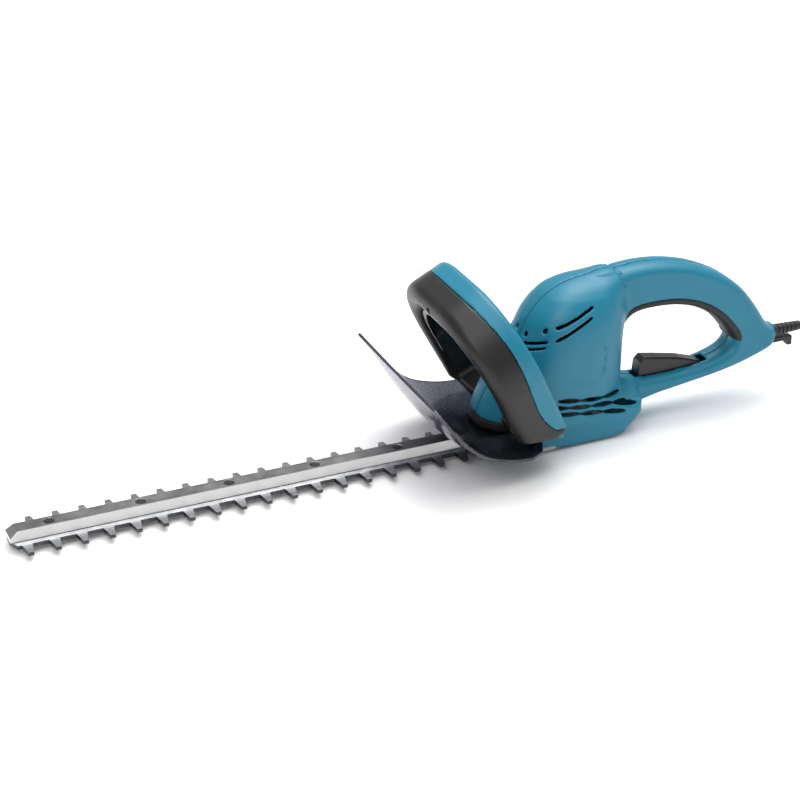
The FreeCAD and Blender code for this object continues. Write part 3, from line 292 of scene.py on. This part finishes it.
def housing_shell(x, y, z):
    """The housing with its grooves, its wall, its vents and the room for what it holds."""
    solid = housing_skin(x, y, z)
    side = np.abs(y)
    for line, wide, deep in HOUSING_LINES:
        for start, end in zip(line, line[1:]):
            step = slot_distance(x, z, start, end, 0.2)
            solid = solid + deep * np.exp(-(step / wide) ** 2)
    shell = without(solid, solid + WALL)
    for start, end, half in UPPER_SLOTS:
        shell = without(shell, np.maximum(slot_distance(x, z, start, end, half), 20 - side), 0.6)
    for place, turn, size in NOSE_VENTS:
        along = (x - place[0]) * math.cos(turn) + (side - place[1]) * math.sin(turn)
        inward = (side - place[1]) * math.cos(turn) - (x - place[0]) * math.sin(turn)
        vent = block(along, inward, z - 0.28 * along, (-size[0], -9, place[2] - size[1]),
                     (size[0], 9, place[2] + size[1]), 0.6)
        shell = without(shell, vent, 0.6)
    for row in range(3):
        for k in range(-1 - row % 2, 2):
            cx = 17 + 27 * k + 13.5 * (row % 2)
            lens = np.hypot((x - cx) / 13.5, (z - 57 + 7.8 * row + 0.16 * (x + 10)) / 2.5) - 1
            shell = without(shell, np.maximum(lens * 2.5, 20 - side), 0.6)
    case = np.maximum(np.hypot(x + 30, y) - 41.3, z - 34.5)
    nose = block(x, y, z, (-130, -27.8, -5), (-30, 27.8, 31))
    plate = block(x, y, z, (-30, -27.3, -5), (40.3, 27.3, 33))
    trigger_slot = block(x, y, z, (86, -7.9, 40), (172, 7.9, 58))
    lead_hole = np.maximum(np.hypot(y, z - 65) - 5.7, 213 - x)
    for room in (case, nose, plate, trigger_slot, lead_hole):
        shell = without(shell, room)
    return shell


def skin(name, field, low, high, step, to_row=None):
    """A closed mesh drawn where the field is zero: one vertex in each cell that the surface passes,
    and one four-sided face round each sample edge that it crosses. Millimetres in, metres out."""
    axes = [np.arange(a, b + step, step) for a, b in zip(low, high)]
    f = np.ascontiguousarray(field(*np.meshgrid(*axes, indexing="ij", sparse=True)))
    cells = tuple(n - 1 for n in f.shape)
    keys, spots, rings = [], [], []
    for a in range(3):
        b, c = (a + 1) % 3, (a + 2) % 3
        first, last = [slice(None)] * 3, [slice(None)] * 3
        first[a], last[a] = slice(0, -1), slice(1, None)
        f0, f1 = f[tuple(first)], f[tuple(last)]
        at = np.argwhere((f0 < 0) != (f1 < 0))
        held = [(at[:, k] > 0) & (at[:, k] < f.shape[k] - 1) for k in (b, c)]
        at = at[held[0] & held[1]]
        v0, v1 = f0[tuple(at.T)], f1[tuple(at.T)]
        spot = at.astype(float)
        spot[:, a] += v0 / (v0 - v1)
        ring = []
        for back_b, back_c in ((0, 0), (1, 0), (1, 1), (0, 1)):
            cell = at.copy()
            cell[:, b] -= back_b
            cell[:, c] -= back_c
            ring.append(np.ravel_multi_index(cell.T, cells))
        keys.append(np.concatenate(ring))
        spots.append(np.tile(spot, (4, 1)))
        ring = np.stack(ring, 1)
        ring[v0 >= 0] = ring[v0 >= 0][:, ::-1]
        rings.append(ring)
    keys, spots, rings = np.concatenate(keys), np.concatenate(spots), np.concatenate(rings)
    used, number = np.unique(keys, return_inverse=True)
    share = np.bincount(number)
    places = np.stack([np.bincount(number, spots[:, k]) / share for k in range(3)], 1) * step + low
    if to_row is not None:
        places = to_row(places)
    faces = np.searchsorted(used, rings)
    mesh = bpy.data.meshes.new(name)
    mesh.from_pydata((places / 1000).tolist(), [], faces.tolist())
    mesh.shade_smooth()
    mesh.set_sharp_from_angle(angle=math.radians(50))
    piece = bpy.data.objects.new(name, mesh)
    bpy.context.scene.collection.objects.link(piece)
    return piece


# Glass-filled nylon 6, moulded in a spark-eroded tool: an even satin grain of about half a
# millimetre, drawn at one millimetre so that it shows, and a broad soft highlight.
teal_nylon = finish_named("teal_moulded_nylon", "#046F88", "#087A95", (0.36, 0.48), 1.0, 0.03)

SKIRT_TOP, SKIRT_REAR = 40.0, -46.0
SEAM = 0.07                    # each half stands this far back from the middle plane


def skirt_room(x, y, z):
    """The corner at the blades' end that the black skirt fills instead of the halves."""
    return np.maximum(z - SKIRT_TOP, x - SKIRT_REAR) + 0 * y


def housing_half(side):
    """The field of the half on one side of the middle plane."""
    def field(x, y, z):
        half = without(housing_shell(x, y, z), side * y - SEAM, 0.35)
        return without(half, skirt_room(x, y, z) - 0.15, 0.6)
    return field


for side, name, near, far in ((-1, "housing_right", -50, 3), (1, "housing_left", -3, 50)):
    half = skin(name + "_shell", housing_half(side), (-104, near, -4), (258, far, 180), SAMPLE)
    half.data.materials.append(teal_nylon)
    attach(half, "housing")
    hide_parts(name)

# ---- Front skirt
# A black nylon moulding round the blades' end of the housing. It carries on the halves' outside,
# down to the guard, and takes the knocks that the coloured nylon would show.


def skirt_field(x, y, z):
    return without(housing_shell(x, y, z), -skirt_room(x, y, z) - 0.15, 0.6)


# Black nylon with a finer and slightly glossier grain than the teal: warm, near-black brown.
black_nylon = finish_named("black_moulded_nylon", "#0B0A0A", "#131211", (0.36, 0.46), 1.2, 0.025)
skirt = skin("front_skirt_moulding", skirt_field, (-104, -50, 18), (-40, 50, 44), SAMPLE)
skirt.data.materials.append(black_nylon)
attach(skirt, "housing")
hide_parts("front_skirt")

# ---- Grip liner
# A soft rubber strip overmoulded round the inside of the upper arm, where the fingers close. It
# stands a little proud of the nylon and wraps over its edge.

LINER_PROUD, LINER_WRAP = 3.6, 0.9          # at the fingers' side, and round the arm's flanks


def liner(x, y, z):
    """The strip between the hand opening and the upper arm, with its two cut ends."""
    gap = ring_distance(smooth_ring(HAND_GAP), x, z)
    proud = LINER_WRAP + (LINER_PROUD - LINER_WRAP) * np.clip(1 - gap / 6, 0, 1)
    pad = grip(x, y, z, gap) - proud
    pad = without(pad, 6.2 - gap + 0 * y, 1.0)
    pad = without(pad, grip(x, y, z, gap) + 0.4, 0.3)
    ends = np.maximum(116 - 0.317 * (x - 60) - z, 63.5 - x)
    return without(pad, -ends, 1.5)


# Natural-rubber blend, moulded with a fine matt texture, dark warm grey with a dull sheen.
grip_rubber = finish_named("grip_liner_rubber", "#0D0C0B", "#151312", (0.5, 0.62), 0.9, 0.04)
liner_pad = skin("grip_liner_pad", liner, (58, -24, 62), (214, 24, 142), 1.2)
liner_pad.data.materials.append(grip_rubber)
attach(liner_pad, "housing")
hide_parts("grip_liner")

# ---- Front loop handle
# The second hand's handle: an arch that leans forwards, in two halves screwed together. The front
# cover is black nylon, rounded like a tube; the rear shell is the housing's nylon.

LOOP_LEAN = math.radians(27)
LOOP_ROOT = np.array((-54.0, 0.0, 48.0))
LOOP_UP = np.array((-math.sin(LOOP_LEAN), 0, math.cos(LOOP_LEAN)))
LOOP_BACK = np.array((math.cos(LOOP_LEAN), 0, math.sin(LOOP_LEAN)))
COVER_DEPTH, SHELL_DEPTH, BAR_HALF = 30, 21, 12.5
LOOP_HALF, LOOP_HEIGHT, LOOP_CORNER = 99, 153, 76
LEG_DRAW_IN = math.radians(9)
LOOP_SCREWS = [(0, 142.5), (-79, 26), (79, 26)]


def from_loop(p):
    """Across, up and back in the loop's own directions, to the row's."""
    return LOOP_ROOT + p[:, :1] * (0, 1, 0) + p[:, 1:2] * LOOP_UP + p[:, 2:] * LOOP_BACK


def in_row(up, back):
    """The row's X and Z of a place in the loop's own directions."""
    return (LOOP_ROOT[0] + LOOP_UP[0] * up + LOOP_BACK[0] * back,
            LOOP_ROOT[2] + LOOP_UP[2] * up + LOOP_BACK[2] * back)


def arch_bar(y, up, deep, edge):
    """The arch's rounded section: deep is 0 at its front edge and grows into the bar."""
    side, over = np.abs(y) - (LOOP_HALF - LOOP_CORNER), up - (LOOP_HEIGHT - LOOP_CORNER)
    ring = np.hypot(np.maximum(side, 0), np.maximum(over, 0)) + np.minimum(np.maximum(side, over), 0)
    leg = side * math.cos(LEG_DRAW_IN) - over * math.sin(LEG_DRAW_IN)
    below = over < -np.maximum(side, 0) * math.tan(LEG_DRAW_IN)
    ring = np.where((over < 0) & (side > 0), np.hypot(side, over), ring)
    ring = np.where(below, leg, ring) - LOOP_CORNER + BAR_HALF
    across = np.abs(ring) - BAR_HALF + edge
    return (np.hypot(np.maximum(across, 0), np.maximum(edge - deep, 0))
            + np.minimum(np.maximum(across, edge - deep), 0) - edge)


def loop_parts(y, up, back):
    """What both halves share: the row's X and Z, the rounded toe, and the feet into the body."""
    x, z = in_row(up, back)
    toe = block(x, np.abs(y), z, (-68, 63.5, 44), (-34.5, 87, 56), 5.7)
    foot_block = block(np.abs(y), up, back, (30, -45, -25), (76, 12, 16), 4)
    return x, z, toe, np.maximum(foot_block, 35.7 - z)


def parting(y, up):
    """Depth of the line between the two halves, which bows back round the shoulders and feet."""
    shoulder = np.exp(-((np.abs(y) - 80) / 38) ** 2 - ((up - 105) / 42) ** 2)
    return 5.5 * shoulder + 9 * np.clip(1 - up / 38, 0, 1) ** 2


def loop_cover(y, up, back):
    """The black front half, round like a tube, with its toes and screw recesses."""
    x, z, toe, feet = loop_parts(y, up, back)
    bar = np.maximum(arch_bar(y, up, back + COVER_DEPTH, 12.3), 44 - z)
    solid = without(joined(bar, feet, 6), parting(y, up) - back - 0.15)
    solid = joined(solid, toe, 3)
    for across, height in LOOP_SCREWS:
        solid = without(solid, np.maximum(np.hypot(y - across, up - height) - 3.5, back + 17), 0.8)
    return without(solid, housing_skin(x, y, z) - 0.3, 0.4)


def loop_shell(y, up, back):
    """The coloured rear half, flatter, which stops short of the toes."""
    x, z, toe, feet = loop_parts(y, up, back)
    bar = np.maximum(arch_bar(y, up, SHELL_DEPTH - back, 6.5), 52 - z)
    solid = without(joined(bar, feet, 6), back - parting(y, up) - 0.15)
    solid = without(solid, toe - 0.4, 0.6)
    return without(solid, housing_skin(x, y, z) - 0.3, 0.4)


for name, field, finish, slot in (
        ("front_handle_cover", loop_cover, black_nylon, "black_nylon"),
        ("front_handle_shell", loop_shell, teal_nylon, "teal_nylon")):
    half = skin(name + "_moulding", field, (-103, -48, -33), (103, 157, 25), SAMPLE, from_loop)
    half.data.materials.append(finish)
    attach(half, "housing")
    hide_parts(name)

# ---- Front switch lever
# A sprung black nylon bar inside the crown of the loop, which the front hand squeezes. It is a
# plain bent strip with softened edges, glossier than the cover where fingers polish it.

def soften(node, width_mm, finish):
    """Gives a CAD node its finish, and its sharp edges a small radius."""
    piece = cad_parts[node]
    piece.data.materials.clear()
    piece.data.materials.append(finish)
    if width_mm:
        weld = piece.modifiers.new("weld", "WELD")
        weld.merge_threshold = 0.00001
        bevel = piece.modifiers.new("edges", "BEVEL")
        bevel.width = width_mm / 1000
        bevel.segments = 2
        bevel.limit_method = "ANGLE"
        bevel.angle_limit = math.radians(35)
        bevel.harden_normals = True
    return piece


# Nylon polished by use: the same black with a tighter highlight.
polished_nylon = finish_named("polished_black_nylon", "#0A0909", "#121111", (0.24, 0.34), 1.6,
                              0.02)
soften("front_lever", 1.0, polished_nylon)
soften("trigger", 0.8, polished_nylon)

# ---- Hand guard
# One sheet of smoked polycarbonate, formed with a flared rim and screwed under the loop's feet.
# It is clear enough to see the blades through, and its lip is painted darker towards the feet, as
# painted shade under the loop.

# Painted shade: below these heights the lip's colour is darkened to a blue-grey, for the shade under
# the loop's feet.
LIP_SHADE_FROM, LIP_SHADE_TO = 0.028, 0.062   # heights over which the lip's tint fades out

# Smoked polycarbonate, pressed hot over a former: clear, smooth and faintly violet.
smoked_sheet = finish_named("smoked_polycarbonate", "#9490A8", "#A29EB4", (0.08, 0.14), 30.0, 0.02,
                            **{"Transmission Weight": 0.92, "IOR": 1.58})
sheet_nodes = smoked_sheet.node_tree.nodes
tint = sheet_nodes["Principled BSDF"].inputs["Base Color"]
# The lip's painted shade, mixed into the sheet's own colour by height.
height = add(smoked_sheet, "ShaderNodeSeparateXYZ",
             {"Vector": sheet_nodes["Texture Coordinate"].outputs["Object"]}).outputs["Z"]
rise = add(smoked_sheet, "ShaderNodeMapRange", {"Value": height, "From Min": LIP_SHADE_FROM,
                                                "From Max": LIP_SHADE_TO})
shade = add(smoked_sheet, "ShaderNodeMix", {0: rise.outputs[0], 6: linear("#3A414C"),
                                            7: tint.links[0].from_socket}, data_type="RGBA")
smoked_sheet.node_tree.links.new(shade.outputs[2], tint)
soften("hand_guard", 0, smoked_sheet)

# ---- Shear blades
# Two toothed strips of hardened tool steel that slide past each other. The flats are ground bright,
# the faces on their edges are painted near-black as painted shade between the blades and under the
# bar, and the teeth are duller from cutting.

def steel(name, flat_dark, flat_light, edge, painted_side_at, rough, streak_mm, tooth=None):
    """Machined steel: streaks along the part, and the faces on its edges that don't face up painted
    in the edge colour: painted shade where it is darker than the flats, a painted highlight where it
    is lighter.
    """
    m = bpy.data.materials.new(name)
    m.use_nodes = True
    m.node_tree.nodes.clear()
    spot = add(m, "ShaderNodeTexCoord", {}).outputs["Object"]
    fine = 1000 / streak_mm
    long = add(m, "ShaderNodeMapping", {"Vector": spot, "Scale": (60, fine, fine)})
    streak = add(m, "ShaderNodeTexNoise", {"Vector": long.outputs[0], "Scale": 1.0, "Detail": 4.0})
    cloud = add(m, "ShaderNodeTexNoise", {"Vector": spot, "Scale": 70.0, "Detail": 3.0})
    mixed = add(m, "ShaderNodeMath", {0: streak.outputs["Fac"], 1: cloud.outputs["Fac"]},
                operation="MULTIPLY")
    share = add(m, "ShaderNodeMapRange", {"Value": mixed.outputs[0], "From Min": 0.15,
                                          "From Max": 0.38})
    colour = add(m, "ShaderNodeMix", {0: share.outputs[0], 6: linear(flat_dark),
                                      7: linear(flat_light)}, data_type="RGBA").outputs[2]
    if tooth:
        across = add(m, "ShaderNodeSeparateXYZ", {"Vector": spot})
        far = add(m, "ShaderNodeMath", {0: across.outputs["Y"]}, operation="ABSOLUTE")
        worn = add(m, "ShaderNodeMapRange", {"Value": far.outputs[0], "From Min": 0.0165,
                                             "From Max": 0.020})
        colour = add(m, "ShaderNodeMix", {0: worn.outputs[0], 6: colour, 7: linear(tooth)},
                     data_type="RGBA").outputs[2]
    # Painted light: faces that turn away from straight up take the edge colour instead of the flats'
    # colour.
    normal = add(m, "ShaderNodeNewGeometry", {}).outputs["Normal"]
    facing = add(m, "ShaderNodeSeparateXYZ", {"Vector": normal})
    flatness = add(m, "ShaderNodeMath", {0: facing.outputs["Z"]}, operation="ABSOLUTE")
    painted_side_share = add(m, "ShaderNodeMapRange", {"Value": flatness.outputs[0], "From Min": painted_side_at[0],
                                           "From Max": painted_side_at[1]})
    colour = add(m, "ShaderNodeMix", {0: painted_side_share.outputs[0], 6: linear(edge), 7: colour},
                 data_type="RGBA").outputs[2]
    gloss = add(m, "ShaderNodeMapRange", {"Value": mixed.outputs[0], "From Min": 0.1,
                                          "From Max": 0.4, "To Min": rough[0], "To Max": rough[1]})
    bump = add(m, "ShaderNodeBump", {"Height": streak.outputs["Fac"], "Distance": 0.00002})
    shader = add(m, "ShaderNodeBsdfPrincipled", {"Base Color": colour, "Metallic": 1.0,
                                                 "Roughness": gloss.outputs[0],
                                                 "Normal": bump.outputs["Normal"]})
    add(m, "ShaderNodeOutputMaterial", {"Surface": shader.outputs["BSDF"]})
    return m


# Ground tool steel: bright flats with fine streaks, edge faces painted near-black as painted shade,
# duller teeth.
blade_steel = steel("ground_tool_steel", "#B4B6B8", "#E2E3E4", "#4A4A4C", (0.5, 0.8),
                    (0.22, 0.36), 0.7, tooth="#9C9EA2")
soften("shear_blade_upper", 0.2, blade_steel)
soften("shear_blade_lower", 0.2, blade_steel)

# ---- Guide bar
# A drawn steel bar over the blades that keeps them straight. Its top is left phosphated, a matt
# mid grey, and its sloping sides are painted near-white as a painted highlight.

# Phosphated steel: a matt grey top, and flanks painted near-white as a painted highlight.
bar_steel = steel("phosphated_guide_bar", "#6C6C6C", "#858585", "#EDEDED", (0.3, 0.95),
                  (0.34, 0.5), 0.5)
soften("guide_bar", 0.4, bar_steel)

# ---- Bolts, nuts and screws
# Shouldered bolts hold the blades under the guide bar, each with a hexagon nut. The guard has two
# pan-head screws. All are zinc plated, then dulled by sap and handling.

BOLT_PLACES = [(-534 + 89 * k, 0) for k in range(5)]
GUARD_SCREW_PLACES = [(-58, -60), (-58, 60)]


def fastener_tree():
    """Geometry Nodes: a head or nut and its shank at each of a mesh's points, in metres."""
    tree = bpy.data.node_groups.new("fasteners", "GeometryNodeTree")
    for name, kind in (("Places", "Geometry"), ("Sides", "Int"), ("Head Radius", "Float"),
                       ("Head Height", "Float"), ("Shank Radius", "Float"), ("Shank Length", "Float"),
                       ("Shank Middle", "Float"), ("Finish", "Material")):
        tree.interface.new_socket(name, in_out="INPUT", socket_type="NodeSocket" + kind)
    tree.interface.new_socket("Fasteners", in_out="OUTPUT", socket_type="NodeSocketGeometry")

    def step(kind, inputs):
        """Adds a node to the tree and gives its first output, if it has one."""
        node = tree.nodes.new(kind)
        for name, value in inputs.items():
            if isinstance(value, bpy.types.NodeSocket):
                tree.links.new(value, node.inputs[name])
            else:
                node.inputs[name].default_value = value
        return node.outputs[0] if node.outputs else node

    given = tree.nodes.new("NodeGroupInput").outputs
    head = step("GeometryNodeMeshCylinder", {"Vertices": given["Sides"],
                                             "Radius": given["Head Radius"],
                                             "Depth": given["Head Height"]})
    shank = step("GeometryNodeMeshCylinder", {"Vertices": 24, "Radius": given["Shank Radius"],
                                              "Depth": given["Shank Length"]})
    aside = step("ShaderNodeCombineXYZ", {"Z": given["Shank Middle"]})
    shank = step("GeometryNodeTransform", {"Geometry": shank, "Translation": aside})
    join = tree.nodes.new("GeometryNodeJoinGeometry")
    for part in (head, shank):
        tree.links.new(part, join.inputs[0])
    placed = step("GeometryNodeInstanceOnPoints", {"Points": given["Places"],
                                                   "Instance": join.outputs[0]})
    real = step("GeometryNodeRealizeInstances", {"Geometry": placed})
    coated = step("GeometryNodeSetMaterial", {"Geometry": real, "Material": given["Finish"]})
    step("NodeGroupOutput", {"Fasteners": coated})
    return tree


# Zinc plate, dulled: dark grey metal with a soft highlight.
zinc_plate = finish_named("dulled_zinc_plate", "#3A3A3C", "#4C4C4F", (0.3, 0.45), 1.0, 0.02,
                          Metallic=1.0)
fasteners = fastener_tree()
for node, places, height, sizes in (
        ("blade_bolts", BOLT_PLACES, 4.6, {"Sides": 32, "Head Radius": 5.5, "Head Height": 2.0,
                                           "Shank Radius": 2.5, "Shank Length": 13.8,
                                           "Shank Middle": 7.9}),
        ("blade_nuts", BOLT_PLACES, 17.9, {"Sides": 6, "Head Radius": 4.62, "Head Height": 2.8,
                                           "Shank Radius": 2.55, "Shank Length": 3.2,
                                           "Shank Middle": 0.0}),
        ("guard_screws", GUARD_SCREW_PLACES, 23.6, {
            "Sides": 32, "Head Radius": 4.2, "Head Height": 2.2, "Shank Radius": 2.0,
            "Shank Length": 22.0, "Shank Middle": 12.1})):
    spots = bpy.data.meshes.new(node)
    spots.from_pydata([(x / 1000, y / 1000, height / 1000) for x, y in places], [], [])
    piece = bpy.data.objects.new(node + "_turned", spots)
    bpy.context.scene.collection.objects.link(piece)
    making = piece.modifiers.new("fasteners", "NODES")
    making.node_group = fasteners
    for socket in fasteners.interface.items_tree:
        if socket.name in sizes:
            value = sizes[socket.name]
            making[socket.identifier] = value if socket.name == "Sides" else value / 1000
        elif socket.name == "Finish":
            making[socket.identifier] = zinc_plate
    made = piece.evaluated_get(bpy.context.evaluated_depsgraph_get())
    solid = bpy.data.meshes.new_from_object(made)
    piece.modifiers.clear()
    piece.data = solid
    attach(piece, "housing")
    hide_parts(node)
for node in ("front_handle_screws", "housing_screws", "base_plate_screws", "trigger_pin",
             "trigger_spring"):
    soften(node, 0, zinc_plate)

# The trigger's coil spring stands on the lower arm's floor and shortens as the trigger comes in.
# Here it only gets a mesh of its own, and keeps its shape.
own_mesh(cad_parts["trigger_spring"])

# ---- Gear case and base plate
# Two aluminium die castings close the gears in. The case keeps its cast skin, and the plate, which
# takes the dirt, is enamelled black.

# Die-cast aluminium: a pale skin with a fine orange-peel texture.
cast_skin = finish_named("die_cast_aluminium", "#A9ABAD", "#BFC1C3", (0.4, 0.55), 1.2, 0.05,
                         Metallic=1.0)
soften("gear_case", 0, cast_skin)
# Baked enamel over the casting: black, smooth and slightly glossy.
plate_enamel = finish_named("black_baked_enamel", "#141415", "#1D1D1F", (0.3, 0.4), 2.0, 0.02)
soften("base_plate", 0, plate_enamel)

# ---- Gears and shafts
# Case-hardened steel, ground where the bearings sit. The crankshaft turns in a ball bearing and a
# sintered bronze bush, and the armature's pinion drives its gear.

# Hardened steel: bright grey metal with a tight highlight.
gear_steel = finish_named("hardened_gear_steel", "#8C8E91", "#A3A5A8", (0.25, 0.4), 1.0, 0.02,
                          Metallic=1.0)
for node in ("crank_gear", "crankshaft", "armature_shaft", "crankshaft_bearing",
             "armature_lower_bearing", "armature_upper_bearing"):
    soften(node, 0, gear_steel)

# ---- Motor
# A series motor that stands upright in the egg: stacks of steel laminations wound with enamelled
# copper, a commutator, and two carbon brushes in brass holders. A nylon fan cools it.

# Lamination steel: dull dark metal, faintly lined at the stack's edges.
stack_steel = finish_named("lamination_steel", "#4A4B4E", "#5C5D61", (0.45, 0.6), 0.8, 0.05,
                           Metallic=1.0)
# Enamelled copper: dark orange metal with a wet-looking gloss.
winding_copper = finish_named("enamelled_copper", "#8A4A22", "#A8602F", (0.25, 0.4), 0.7, 0.06,
                              Metallic=1.0)
# Pressed carbon: almost black and matt.
brush_carbon = finish_named("pressed_carbon", "#1B1B1C", "#272728", (0.5, 0.6), 0.8, 0.03)
for finish, nodes in ((stack_steel, ("armature_core", "stator_core")),
                      (winding_copper, ("armature_windings", "field_windings", "commutator",
                                        "brush_holders", "crankshaft_bush")),
                      (brush_carbon, ("carbon_brushes",)),
                      (black_nylon, ("cooling_fan", "fan_baffle"))):
    for node in nodes:
        soften(node, 0, finish)

# ---- Switches and capacitor
# Two microswitches in series, so that both hands have to be on the handles, and a capacitor that
# keeps the motor's noise off the mains. All are potted in black plastic and pushed into ribs.

for node in ("rear_switch", "front_switch", "capacitor", "cord_clamp"):
    soften(node, 0, black_nylon)

# ---- Lead's boot, hook and plug
# A tapered rubber boot takes the bend at the outlet, with a moulded hook for the extension lead
# beside it. The plug is moulded on the lead's end, with two brass pins.

# Soft PVC moulding: black and nearly matt.
boot_rubber = finish_named("moulded_cord_rubber", "#161616", "#242424", (0.42, 0.55), 1.0, 0.03)
for node in ("cord_boot", "cord_hook", "plug_body"):
    soften(node, 0, boot_rubber)
# Turned brass: yellow metal, bright.
pin_brass = finish_named("plug_pin_brass", "#B08D45", "#C9A55A", (0.2, 0.3), 1.0, 0.01, Metallic=1.0)
soften("plug_pins", 0, pin_brass)
